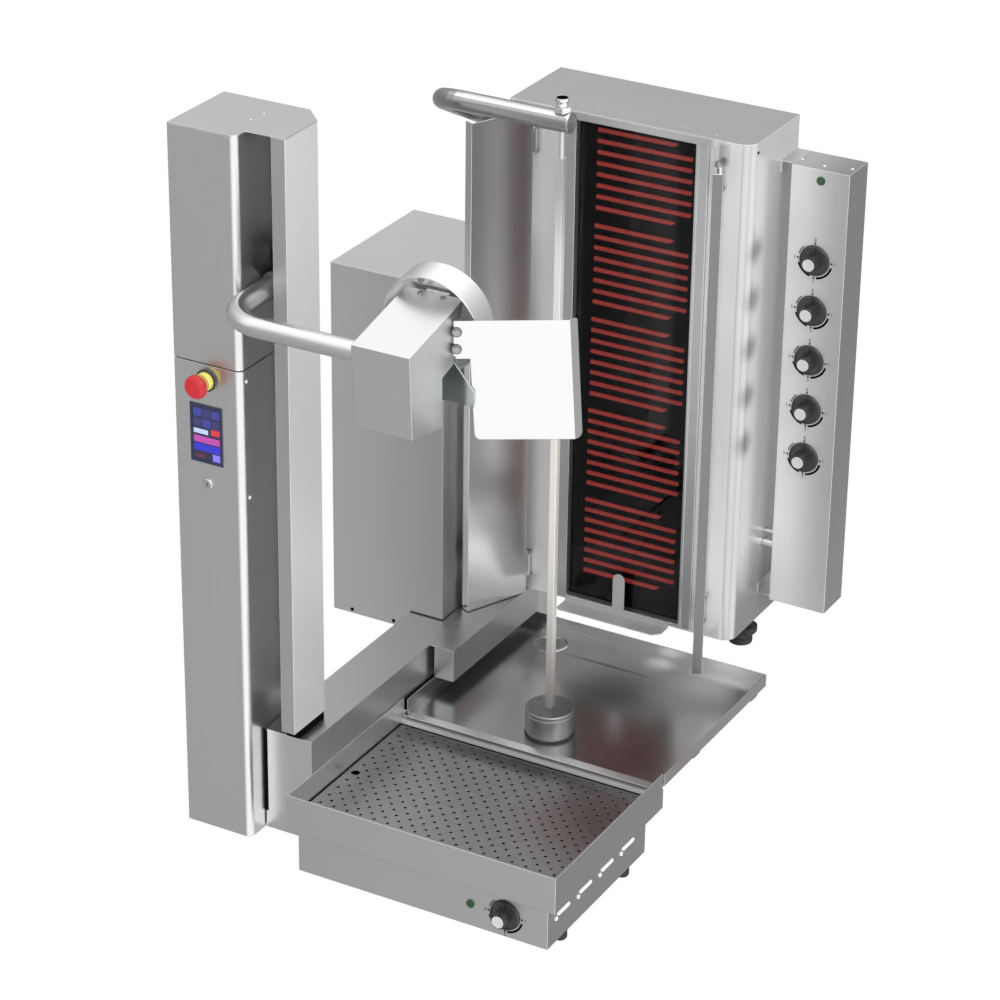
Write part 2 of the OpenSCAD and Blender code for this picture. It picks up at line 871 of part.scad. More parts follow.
module pan_body() {
    t = pan_t;
    louvre_z = 65;
    louvre_l = 40;
    louvre_y = 20;
    louvre_pitch = 68;
    color("#9e9e9e") centred() {
        difference() {
            box_from([body_x, body_y, body_low], [body_right, body_back, pan_floor]);
            box_from([body_x + t, body_y + t, body_low + t], [body_right - t, body_back - t, pan_floor + 1]);
            bar_y(pan_knob_x, body_y - 1, pan_knob_z, 3 + fit, 5, small_fn);
            bar_y(pan_lamp_x, body_y - 1, pan_knob_z + 1, lamp_r, 5, small_fn);
            for (i = [0 : 3])
                translate([body_right - 3, louvre_y + i * louvre_pitch, louvre_z - 4]) cube([4, louvre_l, 3]);
        }
        for (i = [0 : 3])
            louvre_hood(louvre_y + i * louvre_pitch, louvre_z, louvre_l);
    }
}

// Bent heating rod that lies against the underside of the tub
module pan_element() {
    r = 4;
    z = pan_floor - r;
    turn_r = 35;
    first_x = 300;
    last_x = 620;
    rows = [60, 130, 200];
    color("#5b2f2b") centred() {
        for (y = rows)
            bar_x(first_x, y, z, r, last_x - first_x, small_fn);
        translate([last_x, 95, z]) rotate([0, 0, -90])
            rotate_extrude(angle = 180, $fn = 96) translate([turn_r, 0]) circle(r, $fn = small_fn);
        translate([first_x, 165, z]) rotate([0, 0, 90])
            rotate_extrude(angle = 180, $fn = 96) translate([turn_r, 0]) circle(r, $fn = small_fn);
    }
}

// Block on the rail with lips round it, the nut on the lead screw and the socket of the arm tube
module z_carriage() {
    half = 45;
    front = 98;
    rail_front = column_d - 2 - rail_side;
    gap = 0.3;
    low = carriage_z - half;
    high = carriage_z + half;
    color("#7d8186") centred()
        difference() {
            union() {
                box_from([130, front, low], [165, rail_front - gap, high]);
                box_from([130, front, low], [rail_x - gap, rail_front + 9, high]);
                box_from([rail_x + rail_side + gap, front, low], [165, rail_front + 9, high]);
                box_from([160, screw_y - 12, carriage_z - 25], [190, screw_y + 12, carriage_z + 25]);
                bar_y(tube_x, front - 34, carriage_z, tube_r + 4, 34);
            }
            translate([screw_x, screw_y, low - 1])
                cylinder(r = screw_r + fit, h = 2 * half + 2, $fn = round_fn);
            bar_y(tube_x, front - 35, carriage_z, tube_r, 35);
        }
}

// Tube from the carriage forward, round the bend and to the right into the head
module arm_tube() {
    front = 98;
    bend_y = -18;
    end_x = 402;
    color("#c6c6c6") centred() {
        translate([tube_x, bend_y, carriage_z]) rotate([-90, 0, 0]) tube(tube_r, tube_wall, front - bend_y);
        translate([tube_x + arm_bend, bend_y, carriage_z]) rotate([0, 0, 180])
            tube_bend(arm_bend, 90, tube_r, tube_wall);
        translate([tube_x + arm_bend, bend_y - arm_bend, carriage_z]) rotate([0, 90, 0])
            tube(tube_r, tube_wall, end_x - tube_x - arm_bend);
    }
}

module head_section(points, x, width) {
    translate([x, 0, 0]) rotate([90, 0, 90]) linear_extrude(width) polygon(points);
}

// Puts its children on the head's sloping top, at a distance along it from the front edge, Z away from it
module on_head_top(along) {
    translate([ring_x, head_profile[0][0], head_profile[0][1]]) rotate([top_slope, 0, 0])
        translate([0, along, 0]) children();
}

module head_cover() {
    t = 2;
    shaft_y = 31;
    shaft_z = 1036;
    color("#b6b6b6") centred()
        difference() {
            head_section(head_profile, head_x, head_w);
            head_section(head_inner, head_x + t, head_w - 2 * t);
            bar_x(head_x - 1, -88, carriage_z, tube_r, 4);
            translate([ring_x, shaft_y, shaft_z]) rotate([-90 + ring_tilt, 0, 0])
                translate([0, 0, -20]) cylinder(r = 9, h = 40, $fn = small_fn);
            for (side = cover_screws)
                on_head_top(cover_screw_at) translate([side, 0, -4])
                    cylinder(r = bolt_r + 0.1, h = 8, $fn = small_fn);
        }
}

// Puts its children on the knife's axis, with Z along it to the skewer and zero on the front rim's plane
module on_knife_axis() {
    translate([ring_x, ring_y, ring_z]) rotate([-90 + ring_tilt, 0, 0]) children();
}

module knife_motor() {
    color("#4b4e52") centred()
        on_knife_axis()
            difference() {
                translate([0, 0, -92]) cylinder(r = 36, h = 66, $fn = round_fn);
                translate([0, 0, -50]) cylinder(r = 5 + fit, h = 30, $fn = small_fn);
            }
}

// Places, at a height z, of the head's back face and of the middle of the guard's web
function head_back_y(z) = head_profile[4][0]
    + (z - head_profile[4][1]) * (head_profile[5][0] - head_profile[4][0])
    / (head_profile[5][1] - head_profile[4][1]);
function web_y(z) = ring_y + (web_at + web_t / 2 - (z - ring_z) * sin(ring_tilt)) / cos(ring_tilt);

// Ring band with a web before the knife, bored for the shaft, and the block that holds it on the head's back
module knife_guard() {
    low = 1052;
    high = 1082;
    block_w = 40;
    color("#d9d9d9") centred() {
        on_knife_axis() {
            tube(ring_r, ring_wall, ring_depth);
            translate([0, 0, web_at]) difference() {
                cylinder(r = ring_r - ring_wall, h = web_t, $fn = round_fn);
                translate([0, 0, -1]) cylinder(r = 9, h = web_t + 2, $fn = small_fn);
            }
        }
        head_section([[head_back_y(low), low], [head_back_y(high), high], [web_y(high), high],
            [web_y(low), low]], ring_x - block_w / 2, block_w);
    }
}

// Dished round knife on its hub and shaft
module knife_blade() {
    edge_at = 48;
    color("#dfe2e4") centred()
        on_knife_axis() {
            rotate_extrude($fn = 96)
                polygon([[0, 34], [22, 34], [70, 44], [78, edge_at], [69, 46], [21, 36.5], [0, 36.5]]);
            translate([0, 0, -48]) cylinder(r = 5, h = 82, $fn = small_fn);
            translate([0, 0, 36.5]) cylinder(r = 12, h = 4, $fn = 6);
        }
}

// Puts its children in the deflector's own frame: X along the plate, Y through it to the back
module on_deflector() {
    translate([plate_x, plate_y, 0]) rotate([0, 0, plate_yaw]) children();
}

// Angle on the head's right wall, with a flange behind the deflector's tongue
module deflector_bracket() {
    wall_x = head_x + head_w;
    t = 2.5;
    low = 1004;
    high = 1058;
    flange_end = 14;
    color("#cfcfcf") centred()
        difference() {
            union() {
                head_section([[15, low], [19.5, low], [34, high - 6], [34, high], [15, high]], wall_x, t);
                on_deflector()
                    box_from([-7.5, plate_t, low], [flange_end, plate_t + t, high]);
            }
            for (z = bolt_levels)
                on_deflector() bar_y(bolt_along, -1, z, bolt_r + 0.1, 8, small_fn);
        }
}

// Strip along the plate's right edge, folded half-way to the back, with its two free corners rounded off
module deflector_fold(low, high) {
    length = 15;
    turn = 45;
    c = cos(turn);
    s = sin(turn);
    start = plate_w - 3;
    low_r = 10;
    high_r = 4;
    difference() {
        translate([0, 0, low])
            linear_extrude(high - low)
                polygon([[start, 0], [plate_w, 0], [plate_w + length * c, length * s],
                    [plate_w + length * c - plate_t * s, length * s + plate_t * c],
                    [plate_w - plate_t * tan(turn / 2), plate_t], [start, plate_t]]);
        translate([plate_w, 0, 0]) rotate([0, 0, turn]) {
            difference() {
                box_from([length - low_r, -1, low - 1], [length + 1, plate_t + 1, low + low_r]);
                bar_y(length - low_r, -2, low + low_r, low_r, plate_t + 4, small_fn);
            }
            difference() {
                box_from([length - high_r, -1, high - high_r], [length + 1, plate_t + 1, high + 1]);
                bar_y(length - high_r, -2, high - high_r, high_r, plate_t + 4, small_fn);
            }
        }
    }
}

// Plate leaning in its own plane by plate_lean, with a notch at the lower left of its tongue, a rounded
// bottom corner and a folded right edge
module deflector_plate() {
    r = 10;
    notch = 16;
    tongue_x = -6;
    tongue_low = 1001;
    pivot_z = (bolt_levels[0] + bolt_levels[1]) / 2;
    low = plate_low - pivot_z;
    high = plate_high - pivot_z;
    color("#eeeeee") centred()
        on_deflector()
            difference() {
                translate([bolt_along, 0, pivot_z])
                    rotate([0, -plate_lean, 0])
                        translate([-bolt_along, 0, 0]) {
                            translate([0, plate_t, 0]) rotate([90, 0, 0])
                                linear_extrude(plate_t) {
                                    translate([notch + r, low]) square([plate_w - notch - r, high - low]);
                                    translate([notch, low + r]) square([r, high - low - r]);
                                    translate([notch + r, low + r]) circle(r, $fn = small_fn);
                                    translate([tongue_x, tongue_low - pivot_z])
                                        square([notch - tongue_x + 1, plate_high - tongue_low]);
                                }
                            deflector_fold(low, high);
                        }
                for (z = bolt_levels)
                    bar_y(bolt_along, -1, z, bolt_r + 0.1, 8, small_fn);
            }
}

// House-shaped sheet below the ring that turns the slices down
module chute() {
    front = 20;
    t = 1.5;
    mid = 475;
    half = 60;
    low = 924;
    shoulder = 950;
    top = 1003;
    color("#b9bdbb") centred()
        translate([0, front + t, 0]) rotate([90, 0, 0])
            linear_extrude(t)
                polygon([[mid - half, low], [mid + half, low], [mid + half, shoulder], [mid + 14, top],
                    [mid - 60, top], [mid - half, shoulder]]);
}

// Two bolts with washers on the deflector's tongue, two screws on the head's top and one on the web
module head_bolts() {
    color("#bfc2c4") centred() {
        for (z = bolt_levels)
            on_deflector() {
                bar_y(bolt_along, -1, z, bolt_r, plate_t + 3.4, small_fn);
                bar_y(bolt_along, -1.5, z, 5.5, 1.5, small_fn);
                bar_y(bolt_along, -5.5, z, 5, 4, small_fn);
            }
        for (side = cover_screws)
            on_head_top(cover_screw_at) translate([side, 0, 0]) {
                translate([0, 0, -1.9]) cylinder(r = bolt_r, h = 2, $fn = small_fn);
                cylinder(r1 = 5, r2 = 4, h = 1.5, $fn = small_fn);
            }
        on_knife_axis()
            translate([web_screw[0], -web_screw[1], web_at - 3]) cylinder(r = 5, h = 3, $fn = small_fn);
    }
}

// Threaded spindle of the lift, with the shoulder that rests on the lower bearing
module lead_screw() {
    color("#b9bdc1") centred()
        translate([screw_x, screw_y, 0]) {
            translate([0, 0, beam_top - 10]) cylinder(r = screw_r, h = 1270 - beam_top + 12, $fn = round_fn);
            translate([0, 0, 262 + fit]) cylinder(r = 12, h = 8, $fn = round_fn);
        }
}

// Square bar standing in the hub's socket, with the turned pin at its top
module skewer() {
    s = skewer_side;
    color("#cfc4bd") centred()
        translate([skewer_x, skewer_y, 0]) {
            translate([-s / 2, -s / 2, socket_z]) cube([s, s, bar_top - socket_z]);
            translate([0, 0, bar_top - 4]) cylinder(r = pin_r, h = pin_top - bar_top + 4, $fn = small_fn);
        }
}

// Turned hub with a groove, a square socket on top and its shaft down into the gearbox
module drive_hub() {
    s = skewer_side / 2;
    screw_circle = 32;
    color("#c4c4c4") centred()
        translate([skewer_x, skewer_y, 0]) difference() {
            union() {
                rotate_extrude($fn = 96)
                    polygon([[0, hub_low], [hub_r - 1, hub_low], [hub_r - 1, hub_low + 3],
                        [hub_r, hub_low + 4], [hub_r, hub_high - 9], [hub_r - 1.5, hub_high - 8],
                        [hub_r - 1.5, hub_high - 6], [hub_r, hub_high - 5], [hub_r, hub_high - 1.5],
                        [hub_r - 1.5, hub_high], [0, hub_high]]);
                translate([0, 0, 100]) cylinder(r = 10, h = hub_low - 99, $fn = round_fn);
            }
            translate([-s, -s, socket_z]) cube([2 * s, 2 * s, 40]);
            for (a = [30 : 120 : 270])
                rotate([0, 0, a]) translate([screw_circle, 0, hub_high - 3])
                    cylinder(r = 3, h = 4, $fn = small_fn);
        }
}

// Sleeve that slides up in the clamp nut to free the skewer's pin
module top_sleeve() {
    color("#d6d6d6") centred()
        translate([skewer_x, skewer_y, sleeve_low])
            rotate_extrude($fn = 64)
                polygon([[pin_r + fit, 0], [6, 0], [6, 35.2], [10, 35.2], [8.6, 40], [9.2, 43], [11.5, 44],
                    [11.5, 49], [9.5, 49], [9.5, 45], [pin_r + fit, 45]]);
}

// Polished wing with a folded front flange and its two hinge knuckles, drawn with its pin at the origin
module wing(side) {
    reach = wing_front - wing_axis;
    length = norm(reach);
    turn = atan2(reach[1], reach[0]);
    face = knuckle_r - wing_t;
    mirror([side < 0 ? 0 : 1, 0, 0]) rotate([0, 0, turn]) difference() {
        union() {
            translate([knuckle_r - 2, face, wing_bottom]) cube([length - knuckle_r + 2, wing_t, wing_h]);
            translate([length - wing_t, face + wing_t - wing_flange, wing_bottom])
                cube([wing_t, wing_flange, wing_h]);
            for (z = hinge_levels) {
                translate([0, 0, z]) cylinder(r = knuckle_r, h = knuckle_h, $fn = round_fn);
                translate([0, face, z]) cube([knuckle_r, wing_t, knuckle_h]);
            }
        }
        for (z = hinge_levels)
            translate([0, 0, z - 1]) cylinder(r = hinge_r + fit, h = knuckle_h + 2, $fn = small_fn);
    }
}

module left_wing() {
    color("#8c8584") centred() translate([wing_axis[0], wing_axis[1], 0]) wing(-1);
}

module right_wing() {
    color("#b8b8b8") centred() translate([2 * wing_mirror_x - wing_axis[0], wing_axis[1], 0]) wing(1);
}

// Knob: dished skirt, fluted grip with a cap, pointer ridge and a stub shaft, facing the front
module knob(x, y, z) {
    skirt_r = 27.5;
    grip_r = 13.5;
    grip_l = 24;
    cap_r = 11;
    flutes = 6;
    translate([x, y, z]) rotate([90, 0, 0]) {
        translate([0, 0, -14]) cylinder(r = 3, h = 15, $fn = small_fn);
        difference() {
            union() {
                translate([0, 0, 0.6]) cylinder(r1 = skirt_r, r2 = skirt_r - 2, h = 5, $fn = round_fn);
                translate([0, 0, 5]) cylinder(r1 = grip_r + 1, r2 = grip_r, h = grip_l - 5, $fn = round_fn);
            }
            translate([0, 0, 4]) difference() {
                cylinder(r = skirt_r - 4, h = 2, $fn = round_fn);
                translate([0, 0, -1]) cylinder(r = grip_r + 1, h = 4, $fn = round_fn);
            }
            for (i = [0 : flutes - 1])
                rotate([0, 0, i * 360 / flutes + 30]) translate([grip_r + 4, 0, 8])
                    cylinder(r = 5, h = grip_l, $fn = small_fn);
        }
        translate([0, 0, grip_l - 0.5]) cylinder(r1 = cap_r, r2 = cap_r - 0.5, h = 1.5, $fn = round_fn);
        translate([-1, grip_r - 1, 5]) cube([2, skirt_r - grip_r - 2, 2.5]);
    }
}

module panel_knob(i) {
    color("#2c2c2e") centred() knob(knob_x, panel_y, knob_top_z - (i - 1) * knob_pitch);
}

module pan_knob() {
    color("#2c2c2e") centred() knob(pan_knob_x, body_y, pan_knob_z);
}

// Mushroom head and stem of the stop button
module stop_button() {
    color("#cd2330") centred()
        translate([stop_x, 0, stop_z]) rotate([90, 0, 0]) {
            rotate_extrude($fn = 96)
                polygon([[0, 23], [14, 23], [17, 25], [20, 29], [20, 33], [18, 37], [14, 39.5],
                    [8, 40.5], [0, 41]]);
            translate([0, 0, -20]) cylinder(r = 6, h = 44, $fn = round_fn);
        }
}

// Barrel of the key switch with its keyhole
module key_barrel() {
    color("#b5b7b9") centred()
        translate([key_x, 0, key_z]) rotate([90, 0, 0]) difference() {
            union() {
                translate([0, 0, -22]) cylinder(r = 8 - fit, h = 23, $fn = round_fn);
                translate([0, 0, 0.2]) cylinder(r1 = 9.5, r2 = 8.5, h = 3, $fn = round_fn);
            }
            translate([-0.9, -4, 0]) cube([1.8, 8, 5]);
        }
}

// Perforated plate: two staggered sets of drain holes and the finger hole at the left
module perforated_insert() {
    finger = [239.4, 149];
    finger_r = 7.5;
    last = [insert_high[0] - 12, insert_high[1] - 4];
    shift = [hole_pitch_x / 2, hole_pitch_y / 2];
    color("#8e8e8e") centred()
        translate([0, 0, insert_z])
            linear_extrude(insert_t)
                difference() {
                    translate(insert_low) square(insert_high - insert_low);
                    translate(finger) circle(finger_r, $fn = small_fn);
                    for (set = [0, 1])
                        for (x = [first_hole[0] + set * shift[0] : hole_pitch_x : last[0]],
                            y = [first_hole[1] + set * shift[1] : hole_pitch_y : last[1]])
                            if (norm([x, y] - finger) > finger_r + 8)
                                translate([x, y]) circle(d = hole_d, $fn = 16);
                }
}

column_front_cover();
column_lower_cover();
column_side_cover();
column_cap();
column_post();
lift_rail();
screw_bearings();
lift_motor();
touch_screen();
stop_collar();
base_beam();
side_rail();
levelling_feet();
control_cabinet();
heater_housing();
heater_insulation();
heater_frame();
heater_glass();
heating_elements();
meat_guard();
wing_hinges();
panel_housing();
panel_brackets();
cable_conduit();
power_regulators();
pilot_lamps();
top_arm();
clamp_nut();
drip_tray();
gear_motor();
tray_bearers();
hub_seal();
pan_frame();
pan_body();
pan_element();
z_carriage();
arm_tube();
head_cover();
knife_motor();
knife_guard();
deflector_bracket();
deflector_plate();
chute();
head_bolts();
knife_blade();
lead_screw();
skewer();
drive_hub();
top_sleeve();
left_wing();
right_wing();
panel_knob(1);  // panel_knob_1
panel_knob(2);  // panel_knob_2
panel_knob(3);  // panel_knob_3
panel_knob(4);  // panel_knob_4
panel_knob(5);  // panel_knob_5
pan_knob();
stop_button();
key_barrel();
perforated_insert();
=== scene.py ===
import math

import bpy
import numpy as np
from mathutils import Matrix, Vector


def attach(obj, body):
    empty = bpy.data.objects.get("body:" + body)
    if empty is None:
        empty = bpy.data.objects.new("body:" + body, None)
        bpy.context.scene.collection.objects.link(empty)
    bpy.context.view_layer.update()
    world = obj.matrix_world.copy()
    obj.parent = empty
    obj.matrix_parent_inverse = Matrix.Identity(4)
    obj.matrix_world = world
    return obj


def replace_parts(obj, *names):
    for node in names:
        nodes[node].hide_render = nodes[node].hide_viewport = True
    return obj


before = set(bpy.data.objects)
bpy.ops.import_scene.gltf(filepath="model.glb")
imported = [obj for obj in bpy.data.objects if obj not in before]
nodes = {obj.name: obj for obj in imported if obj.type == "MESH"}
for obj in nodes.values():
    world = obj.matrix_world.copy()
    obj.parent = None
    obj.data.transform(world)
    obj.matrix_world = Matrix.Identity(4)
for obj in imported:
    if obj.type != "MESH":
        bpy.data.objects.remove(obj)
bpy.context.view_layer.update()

# Middle of the machine's footprint in machine millimetres, as in the part's source
MIDDLE = np.array((380.5, 385.0, 0.0))

# Directions of the machine
FRONT = (0.0, -1.0, 0.0)
BACK = (0.0, 1.0, 0.0)
RIGHT = (1.0, 0.0, 0.0)
TOP = (0.0, 0.0, 1.0)

# Faces and centres that small parts sit on, in machine millimetres, as in the part's source
COLUMN_RIGHT, COLUMN_TOP = 125, 1288
BEAM_TOP = 228
CABINET_FRONT = 520
HEATER_FRONT, HEATER_RIGHT, HEATER_TOP, GLASS_MIDDLE = 705, 665, 1148, 437
PANEL_FACE, PANEL_TOP, PANEL_KNOB_X, PANEL_KNOB_TOP, PANEL_KNOB_STEP = 812, 1088, 738, 926, 91.25
PAN_FACE, PAN_KNOB_X, PAN_KNOB_Z = -20, 624, 61
STOP_X, STOP_Z = 61, 867
KEY_X, KEY_Z = 57.5, 683
SLEEVE_X, SLEEVE_Y, SLEEVE_TOP = 472, 404, 1287
DRAIN_X, DRAIN_Y, TRAY_TOP = 325, 679, 142.5
PAN_LIP = 121.1

# Light that metal reflects: an even level all round, more from the right and more from above
SIDE_WAY = (0.819, -0.574, 0.0)
EVEN_LIGHT, SIDE_LIGHT, TOP_LIGHT = 0.47, 1.15, 1.6
SIDE_STARTS, SIDE_FULL = 0.10, 0.60
LEAST_LIGHT, MOST_LIGHT = 0.08, 2.2

# Cosines between which a face counts as looking one way for its painted light, and between which a rounded
# edge starts to get a painted gleam
LOOKS_THERE, LOOKS_STRAIGHT = 0.93, 0.985
EDGE_STARTS, EDGE_FULL = 0.97, 0.82

# Camera of the photograph
AZIMUTH = 29.0
ELEVATION = 26.5
ROLL = 0.75
LENS = 126.0
EYE = (2.5274, -4.5604, 3.1708)


def metres(places):
    """Machine millimetres to metres in the frame, for one place or an array of them."""
    return (np.asarray(places, dtype=float) - MIDDLE) / 1000


def photo_camera():
    """Camera looking down on the front right corner, rolled a little as the photograph is."""
    az, el, roll = (math.radians(a) for a in (AZIMUTH, ELEVATION, ROLL))
    back = Vector((math.sin(az) * math.cos(el), -math.cos(az) * math.cos(el), math.sin(el)))
    right = Vector((math.cos(az), math.sin(az), 0))
    up = back.cross(right)
    across = math.cos(roll) * right + math.sin(roll) * up
    upward = -math.sin(roll) * right + math.cos(roll) * up
    data = bpy.data.cameras.new("photo_camera")
    data.lens = LENS
    data.sensor_width = 36
    data.clip_end = 50
    camera = bpy.data.objects.new("photo_camera", data)
    bpy.context.collection.objects.link(camera)
    turn = Matrix((across, upward, back)).transposed().to_4x4()
    camera.matrix_world = Matrix.Translation(Vector(EYE)) @ turn
    bpy.context.scene.camera = camera


# Shader helpers
def put(tree, kind, inputs=None, **settings):
    """Adds a shader node; an input given as a socket is linked, anything else is set."""
    node = tree.nodes.new(kind)
    for key, value in settings.items():
        setattr(node, key, value)
    for key, value in (inputs or {}).items():
        socket = node.inputs[key]
        if isinstance(value, bpy.types.NodeSocket):
            tree.links.new(value, socket)
        else:
            socket.default_value = value
    return node


def math_node(tree, operation, a, b=0.0, clamp=False):
    """Output of a Math node on two sockets or numbers."""
    return put(tree, "ShaderNodeMath", {0: a, 1: b}, operation=operation, use_clamp=clamp).outputs[0]


def object_place(tree):
    """Place on the object in metres; every piece has its origin at the machine's middle on the floor."""
    return put(tree, "ShaderNodeTexCoord").outputs["Object"]


def brushed_group():
    """Shared look of brushed sheet: fine lines along the grain and faint clouds, both in colour and gloss,
    and edges that are rounded in the shading, with a mask for a painted gleam along them."""
    tree = bpy.data.node_groups.new("brushed_sheet", "ShaderNodeTree")
    face = tree.interface
    for name, kind in (("Color", "NodeSocketColor"), ("Grain", "NodeSocketVector"),
                       ("Lines", "NodeSocketFloat"), ("Clouds", "NodeSocketFloat"),
                       ("Rough", "NodeSocketFloat"), ("Relief", "NodeSocketFloat"),
                       ("Round", "NodeSocketFloat")):
        face.new_socket(name, in_out="INPUT", socket_type=kind)
    for name, kind in (("Color", "NodeSocketColor"), ("Roughness", "NodeSocketFloat"),
                       ("Normal", "NodeSocketVector"), ("Edge", "NodeSocketFloat")):
        face.new_socket(name, in_out="OUTPUT", socket_type=kind)
    given = put(tree, "NodeGroupInput").outputs
    place = object_place(tree)
    along = put(tree, "ShaderNodeVectorMath", {0: place, 1: given["Grain"]}, operation="MULTIPLY")
    lines = put(tree, "ShaderNodeTexNoise",
                {"Vector": along.outputs[0], "Scale": 1.0, "Detail": 3.0, "Roughness": 0.6})
    clouds = put(tree, "ShaderNodeTexNoise", {"Vector": place, "Scale": 4.5, "Detail": 2.0})
    line = math_node(tree, "SUBTRACT", lines.outputs["Fac"], 0.5)
    cloud = math_node(tree, "SUBTRACT", clouds.outputs["Fac"], 0.5)
    line_part = math_node(tree, "MULTIPLY", line, given["Lines"])
    cloud_part = math_node(tree, "MULTIPLY", cloud, given["Clouds"])
    change = math_node(tree, "ADD", line_part, cloud_part)
    factor = math_node(tree, "ADD", change, 1.0)
    color = put(tree, "ShaderNodeVectorMath", {0: given["Color"], "Scale": factor}, operation="SCALE")
    less = math_node(tree, "SUBTRACT", 1.0, change)
    rough = math_node(tree, "MULTIPLY", given["Rough"], less, clamp=True)
    edges = put(tree, "ShaderNodeBevel", {"Radius": given["Round"]}, samples=6)
    flat = put(tree, "ShaderNodeNewGeometry").outputs["Normal"]
    bent = put(tree, "ShaderNodeVectorMath", {0: flat, 1: edges.outputs[0]}, operation="DOT_PRODUCT")
    edge = put(tree, "ShaderNodeMapRange",
               {0: bent.outputs["Value"], 1: EDGE_STARTS, 2: EDGE_FULL, 3: 0.0, 4: 1.0})
    bump = put(tree, "ShaderNodeBump", {"Strength": given["Relief"], "Distance": 0.0003,
                                        "Height": lines.outputs["Fac"], "Normal": edges.outputs[0]})
    put(tree, "NodeGroupOutput", {"Color": color.outputs[0], "Roughness": rough,
                                  "Normal": bump.outputs[0], "Edge": edge.outputs[0]})
    return tree


def facing_group():
    """Painted light and shade on the faces that look one way: Color times Factor there, unchanged
    elsewhere.
    """
    tree = bpy.data.node_groups.new("facing_light", "ShaderNodeTree")
    face = tree.interface
    for name, kind in (("Color", "NodeSocketColor"), ("Way", "NodeSocketVector"),
                       ("Factor", "NodeSocketFloat")):
        face.new_socket(name, in_out="INPUT", socket_type=kind)
    face.new_socket("Color", in_out="OUTPUT", socket_type="NodeSocketColor")
    given = put(tree, "NodeGroupInput").outputs
    normal = put(tree, "ShaderNodeTexCoord").outputs["Normal"]
    toward = put(tree, "ShaderNodeVectorMath", {0: normal, 1: given["Way"]}, operation="DOT_PRODUCT")
    mask = put(tree, "ShaderNodeMapRange", {0: toward.outputs["Value"], 1: LOOKS_THERE, 2: LOOKS_STRAIGHT})
    step = math_node(tree, "SUBTRACT", given["Factor"], 1.0)
    factor = math_node(tree, "ADD", math_node(tree, "MULTIPLY", mask.outputs[0], step), 1.0)
    color = put(tree, "ShaderNodeVectorMath", {0: given["Color"], "Scale": factor}, operation="SCALE")
    put(tree, "NodeGroupOutput", {"Color": color.outputs[0]})
    return tree


def sweep_group():
    """Factor for painted light that slides along a direction of the object: First at From metres, Last at
    To metres.
    """
    tree = bpy.data.node_groups.new("sweep_light", "ShaderNodeTree")
    face = tree.interface
    for name, kind in (("Along", "NodeSocketVector"), ("From", "NodeSocketFloat"),
                       ("To", "NodeSocketFloat"), ("First", "NodeSocketFloat"),
                       ("Last", "NodeSocketFloat")):
        face.new_socket(name, in_out="INPUT", socket_type=kind)
    face.new_socket("Factor", in_out="OUTPUT", socket_type="NodeSocketFloat")
    given = put(tree, "NodeGroupInput").outputs
    along = put(tree, "ShaderNodeVectorMath", {0: object_place(tree), 1: given["Along"]},
                operation="DOT_PRODUCT").outputs["Value"]
    factor = put(tree, "ShaderNodeMapRange",
                 {0: along, 1: given["From"], 2: given["To"], 3: given["First"], 4: given["Last"]},
                 interpolation_type="SMOOTHSTEP")
    put(tree, "NodeGroupOutput", {"Factor": factor.outputs[0]})
    return tree


def patch_group():
    """Soft oval patch of painted light: mixes Color towards Tint by Amount round a place of the object,
    Size metres wide.
    """
    tree = bpy.data.node_groups.new("light_patch", "ShaderNodeTree")
    face = tree.interface
    for name, kind in (("Color", "NodeSocketColor"), ("Tint", "NodeSocketColor"),
                       ("Amount", "NodeSocketFloat"), ("Place", "NodeSocketVector"),
                       ("Size", "NodeSocketVector")):
        face.new_socket(name, in_out="INPUT", socket_type=kind)
    face.new_socket("Color", in_out="OUTPUT", socket_type="NodeSocketColor")
    given = put(tree, "NodeGroupInput").outputs
    away = put(tree, "ShaderNodeVectorMath", {0: object_place(tree), 1: given["Place"]},
               operation="SUBTRACT")
    share = put(tree, "ShaderNodeVectorMath", {0: away.outputs[0], 1: given["Size"]}, operation="DIVIDE")
    reach = put(tree, "ShaderNodeVectorMath", {0: share.outputs[0]}, operation="LENGTH").outputs["Value"]
    mask = put(tree, "ShaderNodeMapRange", {0: reach, 1: 0.0, 2: 1.0, 3: 1.0, 4: 0.0},
               interpolation_type="SMOOTHERSTEP").outputs[0]
    mixed = put(tree, "ShaderNodeMix", {0: math_node(tree, "MULTIPLY", mask, given["Amount"]),
                                        6: given["Color"], 7: given["Tint"]}, data_type="RGBA")
    put(tree, "NodeGroupOutput", {"Color": mixed.outputs[2]})
    return tree


BRUSHED = brushed_group()
FACING = facing_group()
SWEEP = sweep_group()
PATCH = patch_group()

# Grain of brushed sheet: noise per metre along x, y and z, coarse along the brushing
UPRIGHT = (420.0, 420.0, 5.0)
ALONG_X = (5.0, 420.0, 420.0)
ALONG_Y = (420.0, 5.0, 420.0)
TURNED = (20.0, 20.0, 900.0)


def shader(name):
    """New material with a Principled shader; returns the material, its tree and the shader."""
    material = bpy.data.materials.new(name)
    material.use_nodes = True
    tree = material.node_tree
    tree.nodes.clear()
    main = put(tree, "ShaderNodeBsdfPrincipled")
    put(tree, "ShaderNodeOutputMaterial", {"Surface": main.outputs[0]})
    return material, tree, main


def sliding(tree, sweep):
    """Factor of one sweep, given as (along, from, to, first, last)."""
    names = ("Along", "From", "To", "First", "Last")
    return put(tree, "ShaderNodeGroup", dict(zip(names, sweep)), node_tree=SWEEP).outputs[0]


